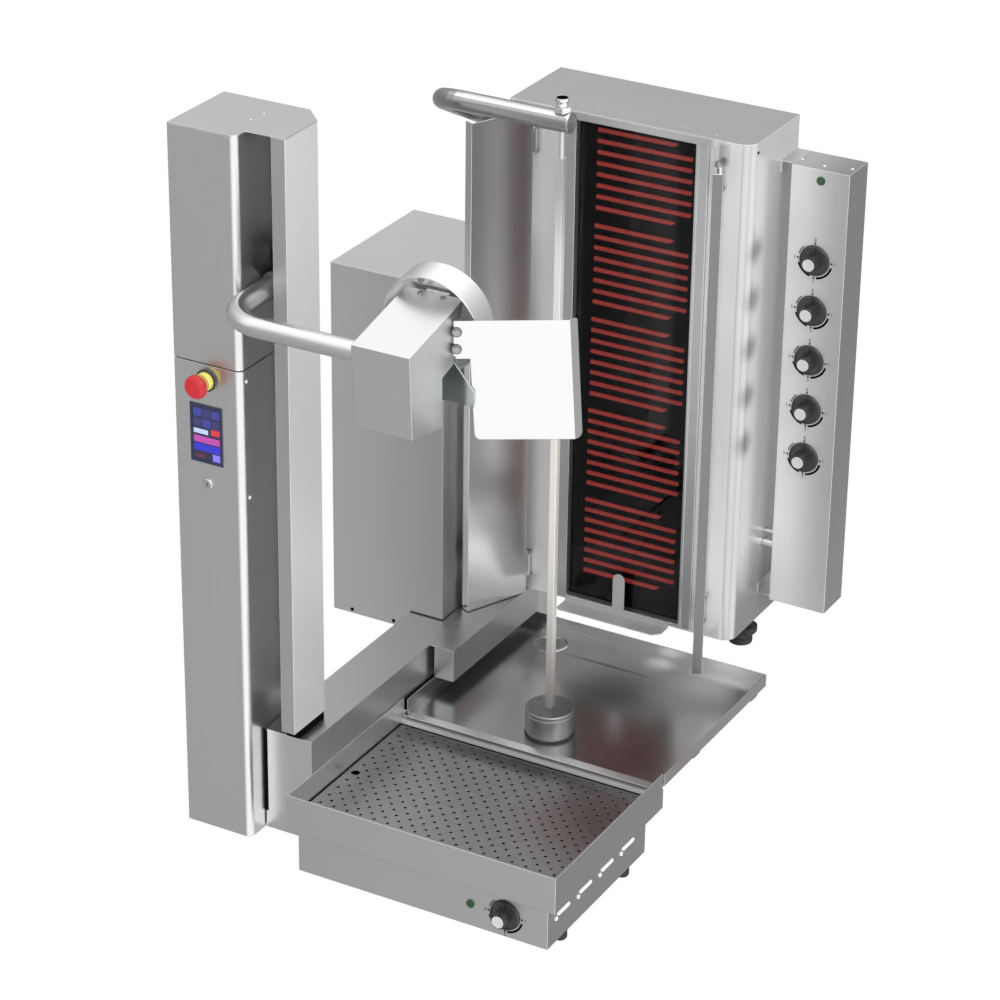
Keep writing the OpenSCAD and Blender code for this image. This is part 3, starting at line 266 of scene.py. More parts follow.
def steel(name, color, rough=0.34, grain=UPRIGHT, lines=0.08, clouds=0.10, relief=0.03, metallic=1.0,
          facing=(), sweeps=(), patches=(), rounding=1.4, edge=0.0):
    """Brushed or polished steel sheet, from the shared group. facing gives (way, factor) for painted light
    and shade on faces that look that way, the factor being a number or a sweep; sweeps gives (along, from,
    to, first, last) for painted light that slides; patches gives (place, size, tint, amount) for soft
    painted reflections and painted shadows of things round the machine. The edges are shaded with a
    rounding in millimetres, and edge says how bright a painted gleam they get."""
    material, tree, main = shader(name)
    group = put(tree, "ShaderNodeGroup", node_tree=BRUSHED)
    for key, value in (("Color", (*color, 1.0)), ("Grain", grain), ("Lines", lines), ("Clouds", clouds),
                       ("Rough", rough), ("Relief", relief), ("Round", rounding / 1000)):
        group.inputs[key].default_value = value
    tone = group.outputs["Color"]
    for place, size, tint, amount in patches:
        tone = put(tree, "ShaderNodeGroup", {"Color": tone, "Tint": (*tint, 1.0), "Amount": amount,
                                             "Place": metres(place), "Size": np.array(size) / 1000},
                   node_tree=PATCH).outputs[0]
    for sweep in sweeps:
        tone = put(tree, "ShaderNodeVectorMath", {0: tone, "Scale": sliding(tree, sweep)},
                   operation="SCALE").outputs[0]
    for way, factor in facing:
        factor = sliding(tree, factor) if isinstance(factor, tuple) else factor
        tone = put(tree, "ShaderNodeGroup", {"Color": tone, "Way": way, "Factor": factor},
                   node_tree=FACING).outputs[0]
    # Painted gleam: the colour on rounded edges is mixed towards white
    if edge:
        share = math_node(tree, "MULTIPLY", group.outputs["Edge"], edge)
        tone = put(tree, "ShaderNodeMix", {0: share, 6: tone, 7: (1.0, 1.0, 1.0, 1.0)},
                   data_type="RGBA").outputs[2]
    tree.links.new(tone, main.inputs["Base Color"])
    tree.links.new(group.outputs["Roughness"], main.inputs["Roughness"])
    tree.links.new(group.outputs["Normal"], main.inputs["Normal"])
    main.inputs["Metallic"].default_value = metallic
    return material


def plain(name, color, rough=0.45, mottle=0.08, scale=60.0, relief=0.05, glow=None, coat=0.0,
          shine=0.5):
    """Plastic, rubber or paint with a fine mottle in colour, gloss and surface. glow gives a colour and a
    strength for parts that light up, coat a clear layer and shine the strength of reflections."""
    material, tree, main = shader(name)
    noise = put(tree, "ShaderNodeTexNoise", {"Vector": object_place(tree), "Scale": scale, "Detail": 4.0})
    change = math_node(tree, "MULTIPLY", math_node(tree, "SUBTRACT", noise.outputs["Fac"], 0.5), mottle * 2)
    factor = math_node(tree, "ADD", change, 1.0)
    base = put(tree, "ShaderNodeVectorMath", {0: color, "Scale": factor}, operation="SCALE").outputs[0]
    tree.links.new(base, main.inputs["Base Color"])
    tree.links.new(math_node(tree, "MULTIPLY", factor, rough), main.inputs["Roughness"])
    bump = put(tree, "ShaderNodeBump",
               {"Strength": relief, "Distance": 0.0005, "Height": noise.outputs["Fac"]})
    tree.links.new(bump.outputs[0], main.inputs["Normal"])
    main.inputs["Coat Weight"].default_value = coat
    main.inputs["Specular IOR Level"].default_value = shine
    if glow:
        main.inputs["Emission Color"].default_value = (*glow[0], 1.0)
        main.inputs["Emission Strength"].default_value = glow[1]
    return material


def dark_glass(name):
    """Smoked ceramic glass: dark, clear enough for the bars, with a gloss that grows at the rim."""
    material = bpy.data.materials.new(name)
    material.use_nodes = True
    tree = material.node_tree
    tree.nodes.clear()
    noise = put(tree, "ShaderNodeTexNoise", {"Vector": object_place(tree), "Scale": 3.0, "Detail": 2.0})
    rough = math_node(tree, "MULTIPLY", noise.outputs["Fac"], 0.05)
    clear = put(tree, "ShaderNodeBsdfTransparent", {"Color": (0.80, 0.78, 0.78, 1.0)})
    gloss = put(tree, "ShaderNodeBsdfGlossy", {"Color": (0.9, 0.9, 0.92, 1.0), "Roughness": rough})
    edge = put(tree, "ShaderNodeFresnel", {"IOR": 1.45})
    mixed = put(tree, "ShaderNodeMixShader", {0: math_node(tree, "MULTIPLY", edge.outputs[0], 0.32),
                                              1: clear.outputs[0], 2: gloss.outputs[0]})
    put(tree, "ShaderNodeOutputMaterial", {"Surface": mixed.outputs[0]})
    return material


def studio():
    """Soft studio: white to the camera; what metal reflects is bright from the right and from above."""
    world = bpy.data.worlds.new("studio")
    bpy.context.scene.world = world
    world.use_nodes = True
    tree = world.node_tree
    tree.nodes.clear()
    way = put(tree, "ShaderNodeTexCoord").outputs["Generated"]
    side = put(tree, "ShaderNodeVectorMath", {0: way, 1: SIDE_WAY}, operation="DOT_PRODUCT")
    height = put(tree, "ShaderNodeSeparateXYZ", {0: way}).outputs["Z"]
    above = math_node(tree, "MAXIMUM", height, 0.0)
    lift = math_node(tree, "MULTIPLY", math_node(tree, "MULTIPLY", above, above), TOP_LIGHT)
    slope = put(tree, "ShaderNodeMapRange",
                {0: side.outputs["Value"], 1: SIDE_STARTS, 2: SIDE_FULL, 3: 0.0, 4: SIDE_LIGHT},
                interpolation_type="SMOOTHSTEP").outputs[0]
    total = math_node(tree, "ADD", math_node(tree, "ADD", slope, EVEN_LIGHT), lift)
    level = math_node(tree, "MINIMUM", math_node(tree, "MAXIMUM", total, LEAST_LIGHT), MOST_LIGHT)
    reflected = put(tree, "ShaderNodeBackground", {"Color": (1.0, 1.0, 1.0, 1.0), "Strength": level})
    seen = put(tree, "ShaderNodeBackground", {"Color": (1.0, 1.0, 1.0, 1.0), "Strength": 1.0})
    ray = put(tree, "ShaderNodeLightPath")
    mixed = put(tree, "ShaderNodeMixShader", {0: ray.outputs["Is Camera Ray"], 1: reflected.outputs[0],
                                              2: seen.outputs[0]})
    put(tree, "ShaderNodeOutputWorld", {"Surface": mixed.outputs[0]})
    for name, place, size, power in (("key_light", (3.2, -1.6, 4.0), 2.5, 60.0),
                                     ("fill_light", (-3.5, -3.0, 3.0), 3.0, 15.0)):
        data = bpy.data.lights.new(name, "AREA")
        data.size = size
        data.energy = power
        lamp = bpy.data.objects.new(name, data)
        bpy.context.collection.objects.link(lamp)
        lamp.location = place
        lamp.rotation_euler = (Vector((0, 0, 0.6)) - Vector(place)).to_track_quat("-Z", "Y").to_euler()
    bpy.context.scene.view_settings.view_transform = "Standard"


def floor():
    """Pale floor, white to the camera and out of the way of reflections."""
    half = 6.0
    mesh = bpy.data.meshes.new("floor")
    mesh.from_pydata([(-half, -half, 0), (half, -half, 0), (half, half, 0), (-half, half, 0)], [],
                     [(0, 1, 2, 3)])
    material = bpy.data.materials.new("floor")
    material.use_nodes = True
    tree = material.node_tree
    tree.nodes.clear()
    matt = put(tree, "ShaderNodeBsdfDiffuse", {"Color": (0.8, 0.8, 0.8, 1.0)})
    white = put(tree, "ShaderNodeEmission", {"Color": (1.0, 1.0, 1.0, 1.0), "Strength": 1.0})
    gone = put(tree, "ShaderNodeBsdfTransparent")
    ray = put(tree, "ShaderNodeLightPath").outputs
    shown = put(tree, "ShaderNodeMixShader",
                {0: ray["Is Camera Ray"], 1: matt.outputs[0], 2: white.outputs[0]})
    mixed = put(tree, "ShaderNodeMixShader",
                {0: ray["Is Glossy Ray"], 1: shown.outputs[0], 2: gone.outputs[0]})
    put(tree, "ShaderNodeOutputMaterial", {"Surface": mixed.outputs[0]})
    mesh.materials.append(material)
    obj = bpy.data.objects.new("floor", mesh)
    bpy.context.collection.objects.link(obj)


photo_camera()
studio()
floor()


# Finishes. Way and factor pairs, sweeps and patches are painted light: faces and stretches of steel painted
# lighter or darker, and painted reflections of the room, the red bars and the machine's own dark parts
GREY = (0.60, 0.60, 0.60)
FINISHES = {
    "cover": steel("cover_steel", GREY),
    # Painted light by face: right faces lighter on the column, darker on the cabinet, head and panel;
    # fronts darker on the side cover; the head's top lighter, tops darker on the panel, beam and rail; the
    # panel lighter low down and darker to the right; a painted gleam on the side cover's and panel's edges
    "column": steel("column_steel", GREY, facing=((RIGHT, (TOP, 0.60, 1.15, 1.35, 1.20)),)),
    "cabinet": steel("cabinet_steel", GREY, facing=((RIGHT, 0.62),)),
    "side": steel("side_cover_steel", (0.71, 0.71, 0.71), metallic=0.6, facing=((FRONT, 0.46),), edge=0.8),
    "head": steel("head_steel", GREY, facing=(((0.0, -0.225, 0.974), 1.2), (RIGHT, 0.89))),
    "panel": steel("panel_steel", (0.645, 0.645, 0.645), metallic=0.6, facing=((RIGHT, 0.52), (TOP, 0.57)),
                   sweeps=((RIGHT, 0.3075, 0.4125, 1.0, 0.57), (TOP, 0.25, 0.75, 1.2, 1.0)), edge=0.8),
    "beam": steel("beam_steel", GREY, grain=ALONG_Y, facing=((TOP, 0.72),)),
    "rail": steel("rail_steel", (0.50, 0.50, 0.50), grain=ALONG_Y, facing=((TOP, 0.86),)),
    # Painted light on the heater: tops darker, right faces darker and most of all low down, the rounded
    # front corners darker, fronts lighter low down, five dark painted reflections of the knobs on its right
    # face, and a painted gleam on its edges
    "heater": steel("heater_steel", (0.62, 0.62, 0.62), rough=0.26, clouds=0.25, metallic=0.55,
                    facing=((TOP, 0.52), (RIGHT, (TOP, 0.26, 0.42, 0.42, 0.90)),
                            ((0.53, -0.848, 0.0), 0.74), ((0.848, -0.53, 0.0), 0.74),
                            (FRONT, (TOP, 0.35, 0.65, 1.12, 1.0))), edge=0.7,
                    patches=tuple(((HEATER_RIGHT, 737 - 2 * i, 955 - 88 * i), (30, 38, 38),
                                   (0.18, 0.18, 0.18), 0.7) for i in range(5))),
    "frame": steel("heater_frame_steel", (0.60, 0.60, 0.60), rough=0.3),
    "guard": steel("guard_steel", (0.42, 0.42, 0.42), rough=0.5, metallic=0.5),
    # Painted light on the wings: the left wing's inner face lighter, the left wing lighter low down and
    # darker high up, the right wing's flange darker, and a painted gleam on both wings' edges
    "wing": steel("wing_steel", (0.52, 0.515, 0.515), rough=0.22, lines=0.05, relief=0.02, edge=0.9,
                  facing=(((-0.4138, -0.9104, 0.0), 1.3),), sweeps=((TOP, 0.45, 1.05, 1.4, 0.80),)),
    "wing_right": steel("right_wing_steel", (0.60, 0.60, 0.60), rough=0.3, lines=0.05, relief=0.02,
                        facing=(((0.4138, -0.9104, 0.0), 0.28),), edge=0.9),
    # Painted light on the pan: right faces lighter at the left and darker at the right, top faces low
    # inside it nearly black as painted shade, and a faint painted gleam on its edges
    "pan": steel("pan_steel", (0.58, 0.58, 0.58), grain=ALONG_X, edge=0.3,
                 facing=((RIGHT, (RIGHT, -0.10, 0.25, 1.3, 0.68)), (TOP, (TOP, 0.106, 0.118, 0.08, 1.0)))),
    # Painted light on the tray as soft patches: dark patches and a thin dark streak of painted shade and
    # reflection, a red painted reflection of the red bars, and bright painted reflections
    "tray": steel("tray_steel", (0.50, 0.50, 0.50), rough=0.24, grain=ALONG_X, clouds=0.25,
                  patches=(((500, 590, 140), (120, 130, 400), (0.17, 0.17, 0.17), 0.85),
                           ((650, 405, 140), (140, 120, 400), (0.33, 0.265, 0.265), 0.6),
                           ((640, 690, 140), (100, 90, 400), (0.92, 0.92, 0.92), 0.75),
                           ((325, 684, 140), (40, 40, 400), (0.20, 0.20, 0.20), 0.7),
                           ((281, 465, 140), (90, 90, 400), (0.42, 0.42, 0.42), 0.7),
                           ((526, 712, 140), (45, 36, 400), (1.0, 1.0, 1.0), 0.9),
                           ((454, 661, 140), (135, 7, 400), (0.12, 0.12, 0.12), 0.8))),
    # Painted shade on the insert: all but its top faces nearly black, so the holes look dark inside; a
    # reddish painted reflection towards the right and painted shade along its back edge
    "insert": steel("insert_steel", (0.030, 0.030, 0.030), rough=0.34, grain=ALONG_X, clouds=0.2,
                    facing=((TOP, 11.3),),
                    patches=(((640, 190, 90), (170, 170, 400), (0.023, 0.018, 0.018), 0.7),
                             ((420, 303, 90), (330, 34, 400), (0.010, 0.010, 0.010), 0.85))),
    "bright": steel("bright_steel", (0.78, 0.78, 0.78), rough=0.24, lines=0.04, relief=0.02),
    "chute": steel("chute_steel", (0.50, 0.56, 0.53), rough=0.2, lines=0.04, relief=0.02),
    # Painted shade: the plate's face that looks right and a little to the front is darker
    "plate": steel("plate_steel", (0.62, 0.62, 0.62), rough=0.3, lines=0.02, clouds=0.03, relief=0.01,
                   facing=(((0.934, -0.358, 0.0), 0.4),)),
    "tube": steel("tube_steel", (0.66, 0.66, 0.66), rough=0.28, lines=0.06, relief=0.02, rounding=5),
    # Painted highlight: the top arm's faces that look up and a little to the front are much lighter
    "top_tube": steel("top_tube_steel", (0.33, 0.33, 0.33), rough=0.24, lines=0.06, relief=0.02,
                      facing=(((0.1, -0.577, 0.811), 2.3),), rounding=5),
    "hinge": steel("hinge_steel", (0.30, 0.30, 0.30), rough=0.4),
    "turned": steel("turned_steel", (0.62, 0.62, 0.63), rough=0.24, grain=TURNED, lines=0.2),
    "hub": steel("hub_steel", (0.23, 0.23, 0.23), rough=0.34, grain=TURNED, lines=0.2),
    # Painted shade: the skewer is darker low down and towards its top
    "skewer": steel("skewer_steel", (0.95, 0.92, 0.89), rough=0.34, lines=0.08, metallic=0.8,
                    sweeps=((TOP, 0.20, 0.42, 0.45, 1.0), (TOP, 1.00, 1.16, 1.0, 0.60))),
    "blade": steel("blade_steel", (0.80, 0.81, 0.82), rough=0.15),
    "dark": steel("frame_steel", (0.16, 0.16, 0.17), rough=0.45),
    "motor": plain("motor_paint", (0.05, 0.05, 0.055), rough=0.4),
    "bars": plain("bar_red", (0.34, 0.046, 0.036), rough=0.5, mottle=0.3, scale=140.0,
                  glow=((0.55, 0.055, 0.045), 0.30)),
    "insulation": plain("insulation", (0.006, 0.006, 0.007), rough=0.9, relief=0.0, shine=0.0),
    "glass": dark_glass("heater_glass"),
    "knob": plain("knob_black", (0.022, 0.022, 0.024), rough=0.35, coat=0.2),
    "cap": plain("knob_cap", (0.46, 0.46, 0.455), rough=0.4, mottle=0.04),
    # White of the rivets and screws, also used for the painted highlight on the drain's rim
    "rivet_and_gleam": plain("rivet_and_gleam_white", (0.66, 0.66, 0.66), rough=0.4, mottle=0.04),
    # Black of the printed dials, keyhole, screws and sleeve mouth, also used for painted shadow in gaps
    "black_and_shadow": plain("dial_black_and_shadow", (0.004, 0.004, 0.004), rough=0.8, shine=0.0),
    # White of the louvres, a painted highlight on their lips
    "louvre": plain("louvre_highlight", (0.92, 0.92, 0.92), rough=0.4, mottle=0.03),
    "mark": plain("screw_mark", (0.32, 0.32, 0.32), rough=0.4, mottle=0.04),
    "red": plain("stop_red", (0.42, 0.012, 0.018), rough=0.35, coat=0.2, shine=0.3),
    "yellow": plain("stop_yellow", (0.72, 0.66, 0.15), rough=0.35),
    "screen": plain("screen", (0.012, 0.014, 0.05), rough=0.15, coat=0.6),
    "lamp": plain("lamp_green", (0.012, 0.05, 0.016), rough=0.15, coat=0.5),
    # Rubber of the feet, the hub's seal and the rear foot, also used for painted shadow rings round the
    # bolt washers and for the black strip under the cabinet's edge
    "rubber": plain("rubber", (0.012, 0.012, 0.012), rough=0.7),
}

# Plain colours of the picture on the touch screen
for name, color, strength in (("tile", (0.035, 0.045, 0.26), 0.8), ("tile_dark", (0.035, 0.03, 0.15), 0.8),
                              ("pale", (0.42, 0.52, 0.80), 0.9), ("signal", (0.56, 0.03, 0.05), 0.9),
                              ("magenta", (0.42, 0.05, 0.34), 0.9), ("blue", (0.02, 0.02, 0.50), 0.9),
                              ("dim_red", (0.09, 0.02, 0.05), 0.8), ("icon", (0.20, 0.17, 0.75), 0.9)):
    FINISHES[name] = plain("screen_" + name, tuple(c * 0.3 for c in color), rough=0.3, mottle=0.12,
                           scale=300.0, glow=(color, strength), coat=0.3)

# CAD nodes by look
LOOKS = {
    "cover": ["column_cap", "panel_brackets"],
    "column": ["column_front_cover", "column_lower_cover"],
    "cabinet": ["control_cabinet"],
    "side": ["column_side_cover"],
    "head": ["head_cover"],
    "panel": ["panel_housing"],
    "beam": ["base_beam"],
    "rail": ["side_rail"],
    "heater": ["heater_housing"],
    "frame": ["heater_frame"],
    "guard": ["meat_guard"],
    "wing": ["left_wing"],
    "wing_right": ["right_wing"],
    "pan": ["pan_frame", "pan_body"],
    "tray": ["drip_tray"],
    "insert": ["perforated_insert"],
    "bright": ["knife_guard", "deflector_bracket"],
    "chute": ["chute"],
    "plate": ["deflector_plate"],
    "tube": ["arm_tube", "cable_conduit"],
    "top_tube": ["top_arm"],
    "hub": ["drive_hub"],
    "turned": ["top_sleeve", "clamp_nut", "key_barrel", "lead_screw"],
    "hinge": ["wing_hinges", "head_bolts"],
    "skewer": ["skewer"],
    "blade": ["knife_blade"],
    "dark": ["column_post", "tray_bearers", "lift_rail", "z_carriage", "screw_bearings"],
    "motor": ["lift_motor", "gear_motor", "knife_motor"],
    "bars": ["heating_elements", "pan_element"],
    "insulation": ["heater_insulation"],
    "glass": ["heater_glass"],
    "knob": ["panel_knob_%d" % i for i in range(1, 6)] + ["pan_knob", "power_regulators"],
    "red": ["stop_button"],
    "yellow": ["stop_collar"],
    "screen": ["touch_screen"],
    "lamp": ["pilot_lamps"],
    "rubber": ["levelling_feet", "hub_seal"],
}

for look, names in LOOKS.items():
    for name in names:
        obj = nodes[name]
        if obj.material_slots:
            for painted in obj.material_slots:
                painted.material = FINISHES[look]
        else:
            obj.data.materials.append(FINISHES[look])


# Small parts modelled here
def add_piece(name, shapes, look, body):
    """One mesh from several (places, faces) shapes, carried by a body and painted with the finish of its
    look.
    """
    starts = np.cumsum([0] + [len(places) for places, _ in shapes]).tolist()
    faces = [[i + start for i in face] for start, (_, own) in zip(starts, shapes) for face in own]
    mesh = bpy.data.meshes.new(name)
    mesh.from_pydata(np.vstack([places for places, _ in shapes]), [], faces)
    mesh.materials.append(FINISHES[look])
    obj = bpy.data.objects.new(name, mesh)
    bpy.context.collection.objects.link(obj)
    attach(obj, body)
    return obj


def turned(profile, centre, axis, turns=32):
    """Turned surface P(s, t) = centre + a(s) axis + r(s) (cos t e1 + sin t e2), with profile rows (r, a)
    in millimetres. A last row with r = 0 closes it with a fan. Faces look outward when a grows or r
    shrinks."""
    axis = Vector(axis).normalized()
    first = axis.orthogonal().normalized()
    second = axis.cross(first)
    t = np.arange(turns) * 2 * math.pi / turns
    ring = np.outer(np.cos(t), first) + np.outer(np.sin(t), second)
    r, a = np.array(profile, dtype=float).T[:, :, None, None]
    grid = np.array(centre) + a * np.array(axis) + r * ring
    rows = len(profile) - (profile[-1][0] == 0)
    places = grid[:rows].reshape(-1, 3)
    here = np.arange(rows * turns).reshape(rows, turns)
    after = np.roll(here, -1, axis=1)
    faces = np.stack((here[:-1], after[:-1], after[1:], here[1:]), axis=-1).reshape(-1, 4).tolist()
    if rows < len(profile):
        places = np.vstack((places, grid[-1, :1]))
        tip = np.full(turns, rows * turns)
        faces += np.column_stack((here[-1], after[-1], tip)).tolist()
    return metres(places), faces


def screw_head(centre, axis, r, h):
    """Low domed screw head on a face: a turned profile that falls to the rim in three steps."""
    return turned([(r, 0), (r, h * 0.4), (r * 0.8, h * 0.85), (r * 0.4, h), (0, h)], centre, axis, 20)


def front_patch(x0, x1, z0, z1, y):
    """Flat rectangle that faces the front, from its four corners in machine millimetres."""
    return metres([(x0, y, z0), (x1, y, z0), (x1, y, z1), (x0, y, z1)]), [(0, 1, 2, 3)]


def strip(low, high):
    """Closed box P(i, j, k): x, y and z are each taken from its low or its high corner."""
    ends = np.array((low, high))
    k, j, i = np.indices((2, 2, 2)).reshape(3, -1)
    faces = [(0, 2, 3, 1), (4, 5, 7, 6), (0, 1, 5, 4), (2, 6, 7, 3), (0, 4, 6, 2), (1, 3, 7, 5)]
    return metres(np.column_stack((ends[i, 0], ends[j, 1], ends[k, 2]))), faces


def band(centre, up, angles, inner, outer):
    """Flat band P(r, a) = centre + r (cos a right + sin a up) between two radii, the angles in degrees."""
    a = np.radians(angles)
    r = np.column_stack((np.broadcast_to(inner, a.shape), np.broadcast_to(outer, a.shape)))
    way = np.outer(np.cos(a), RIGHT) + np.outer(np.sin(a), up)
    places = np.array(centre) + r[:, :, None] * way[:, None, :]
    i = 2 * np.arange(len(a) - 1)
    return metres(places.reshape(-1, 3)), np.column_stack((i, i + 1, i + 3, i + 2)).tolist()


def dial_tick(x, y, z, angle, inner, outer, width):
    """Flat stroke P(r, s) = centre + r along + s across, along being a radius at an angle in degrees."""
    way = math.radians(angle)
    r = np.array((inner, outer, outer, inner))
    s = np.array((-1, -1, 1, 1)) * width / 2
    places = np.column_stack((x + r * math.cos(way) - s * math.sin(way), np.full(4, y),
                              z + r * math.sin(way) + s * math.cos(way)))
    return metres(places), [(0, 1, 2, 3)]


def dial_figure(text, x, y, z, height):
    """A printed number as a flat mesh that faces the front, centred on a place."""
    curve = bpy.data.curves.new("figure", "FONT")
    curve.body = text
    curve.size = height / 0.7
    curve.align_x = "CENTER"
    curve.align_y = "CENTER"
    drawn = bpy.data.objects.new("figure", curve)
    bpy.context.collection.objects.link(drawn)
    bpy.context.view_layer.update()
    mesh = bpy.data.meshes.new_from_object(drawn.evaluated_get(bpy.context.evaluated_depsgraph_get()))
    spots = np.empty(len(mesh.vertices) * 3)
    mesh.vertices.foreach_get("co", spots)
    across, upward, depth = spots.reshape(-1, 3).T
    faces = [list(p.vertices) for p in mesh.polygons]
    bpy.data.objects.remove(drawn)
    bpy.data.curves.remove(curve)
    bpy.data.meshes.remove(mesh)
    return metres(np.column_stack((x + across, y + depth, z + upward))), faces


def dial(name, x, face_y, z):
    """Printed scale round a knob: four ticks with figures and three bands that grow thicker."""
    y = face_y - 0.3
    figures_at, figure_height = 37, 5.5
    shapes = []
    for inner, outer, start, end in ((29.6, 33.4, -82, -14), (28.2, 31.6, 196, 256),
                                     (28.9, 30.6, 131, 166)):
        angles = np.linspace(start, end, (end - start) // 6 + 1)
        shapes.append(band((x, y, z), TOP, angles, inner, outer))
    for angle, text in ((90, "0"), (0, "1"), (-90, "2"), (180, "3")):
        shapes.append(dial_tick(x, y, z, angle, 29.0, 32.6, 2.8))
        way = math.radians(angle)
        shapes.append(dial_figure(text, x + figures_at * math.cos(way), y,
                                  z + figures_at * math.sin(way), figure_height))
    add_piece(name, shapes, "black_and_shadow", "machine")


# Dials of the knobs, and the pale caps that turn with them
KNOBS = [("knob_%d" % (i + 1), PANEL_KNOB_X, PANEL_FACE, PANEL_KNOB_TOP - PANEL_KNOB_STEP * i)
         for i in range(5)]
KNOBS.append(("pan_knob", PAN_KNOB_X, PAN_FACE, PAN_KNOB_Z))
KNOB_DEPTH = 25.0
for name, x, face_y, z in KNOBS:
    dial(name + "_dial", x, face_y, z)
    cap = turned([(10.5, 0), (10.5, 1.0), (9.8, 1.4), (8.6, 1.1), (4.0, 0.9), (0, 0.85)],
                 (x, face_y - KNOB_DEPTH, z), FRONT)
    add_piece(name + "_cap", [cap], "cap", name)

# Picture on the touch screen, in shares of the screen's width from the left and of its height from the top
SCREEN_LEFT, SCREEN_TOP, SCREEN_FACE = 27.5, 823, -0.95
SCREEN_W, SCREEN_H = 61, 103
PICTURE = [(0.10 + 0.285 * i, 0.36 + 0.285 * i, 0.08 + 0.17 * row, 0.22 + 0.17 * row,
            "tile" if (i + row) % 2 == 0 else "tile_dark") for i in range(3) for row in range(2)]
PICTURE += [(0.10, 0.55, 0.43, 0.51, "pale"), (0.64, 0.91, 0.40, 0.50, "signal"),
            (0.10, 0.91, 0.55, 0.66, "magenta"), (0.10, 0.91, 0.68, 0.80, "blue"),
            (0.12, 0.45, 0.85, 0.93, "dim_red"), (0.68, 0.91, 0.82, 0.94, "icon")]
for look in sorted({row[4] for row in PICTURE}):
    shapes = [front_patch(SCREEN_LEFT + SCREEN_W * u0, SCREEN_LEFT + SCREEN_W * u1,
                          SCREEN_TOP - SCREEN_H * v1, SCREEN_TOP - SCREEN_H * v0, SCREEN_FACE)
              for u0, u1, v0, v1, kind in PICTURE if kind == look]
    add_piece("screen_" + look, shapes, look, "machine")

# Black seat of the stop button, and the keyhole's slot
add_piece("stop_seat", [turned([(15.5, 0), (18.6, 0), (18.6, 4.2), (15.5, 4.6)], (STOP_X, 0, STOP_Z),
                               FRONT)], "knob", "machine")
add_piece("keyhole", [front_patch(KEY_X - 0.9, KEY_X + 0.9, KEY_Z - 4, KEY_Z + 4, -3.3)], "black_and_shadow", "key")

# Black mouth of the top sleeve
add_piece("sleeve_mouth", [turned([(9.45, 3.9), (9.45, 0.15), (0, 0.15)], (SLEEVE_X, SLEEVE_Y, SLEEVE_TOP),
                                  TOP)], "black_and_shadow", "sleeve")

# Screws and rivets: piece, look, places, the way they face, radius and height
SCREWS = [
    ("column_rivets", "rivet_and_gleam", [(COLUMN_RIGHT, 16.1, 872.7), (COLUMN_RIGHT, 18.9, 667.7)],
     RIGHT, 3.2, 1.5),
    ("cap_screws", "turned", [(104, 76, COLUMN_TOP), (107, 109, COLUMN_TOP)], TOP, 2.4, 0.9),
    ("panel_screws", "rivet_and_gleam", [(693, 842, PANEL_TOP), (738, 832, PANEL_TOP), (784, 842, PANEL_TOP)],
     TOP, 2.6, 1.1),
    ("heater_top_screws", "mark", [(367, 735, HEATER_TOP), (526, 736, HEATER_TOP), (590, 724, HEATER_TOP)],
     TOP, 2.6, 0.8),
    ("heater_side_screws", "mark", [(HEATER_RIGHT, 753, 1132), (HEATER_RIGHT, 863, 1126)],
     RIGHT, 2.2, 1.0),
    ("cabinet_screws", "black_and_shadow", [(6, CABINET_FRONT, 200), (92, CABINET_FRONT, 200)], FRONT, 3.4, 1.2),
]
for name, look, spots, way, r, h in SCREWS:
    add_piece(name, [screw_head(spot, way, r, h) for spot in spots], look, "machine")

# Black strips made of boxes between two corners: painted shadow in the gaps round the insert, between tray
# and beam, under the side cover and beside the column's foot, and a strip under the cabinet's edge on the
# beam
STRIP_LOW, STRIP_HIGH = BEAM_TOP + 0.1, BEAM_TOP + 2
DARK_STRIPS = [
    ("cabinet_edge_strip", "rubber", [((127, CABINET_FRONT - 0.8, STRIP_LOW), (192.8, CABINET_FRONT, STRIP_HIGH)),
                                ((192, CABINET_FRONT, STRIP_LOW), (192.8, 800, STRIP_HIGH))]),
    ("insert_gap_shadow", "black_and_shadow", [((221.2, 326.4, PAN_LIP), (717, 331.5, PAN_LIP + 1.1)),
                            ((221.2, -28, PAN_LIP), (223.9, 326.4, PAN_LIP + 2.1))]),
    ("tray_gap_shadow", "black_and_shadow", [((218.3, 345.2, 142), (223.8, 470, 163.4))]),
    ("side_cover_gap_shadow", "black_and_shadow", [((171, 44.3, STRIP_LOW), (194.2, 46, 242.9)),
                                ((193, 45, STRIP_LOW), (194.2, 123, 242.9))]),
    ("foot_gap_shadow", "black_and_shadow", [((COLUMN_RIGHT + 0.1, 44.0, 70), (131.0, 44.9, BEAM_TOP))]),
]
for name, look, boxes in DARK_STRIPS:
    add_piece(name, [strip(low, high) for low, high in boxes], look, "machine")

# Rim of the drain in the tray, and the light that it catches on one side
add_piece("drain_ring", [turned([(32.0, 0.05), (31.6, 0.9), (30.4, 0.9), (30.1, 0.05)],
                                (DRAIN_X, DRAIN_Y, TRAY_TOP), TOP, 48)], "hinge", "machine")
gleam_at = np.linspace(-75, 15, 19)
gleam_inner = 29.5 - 3.0 * np.cos(2 * np.radians(gleam_at + 30))
add_piece("drain_gleam", [band((DRAIN_X, DRAIN_Y, TRAY_TOP + 1.1), BACK, gleam_at, gleam_inner, 32.0)],
          "rivet_and_gleam", "machine")

# Ribbed foot under the heater's rear corner
add_piece("rear_foot", [turned([(0.3, 171), (20.5, 171), (21.5, 173), (21.5, 181), (19.8, 182), (19.8, 184),
                                (20.8, 185), (18.0, 196), (16.5, 197), (16.5, 203), (0, 203)],
                               (633, 818, 0), TOP, 40)], "rubber", "machine")

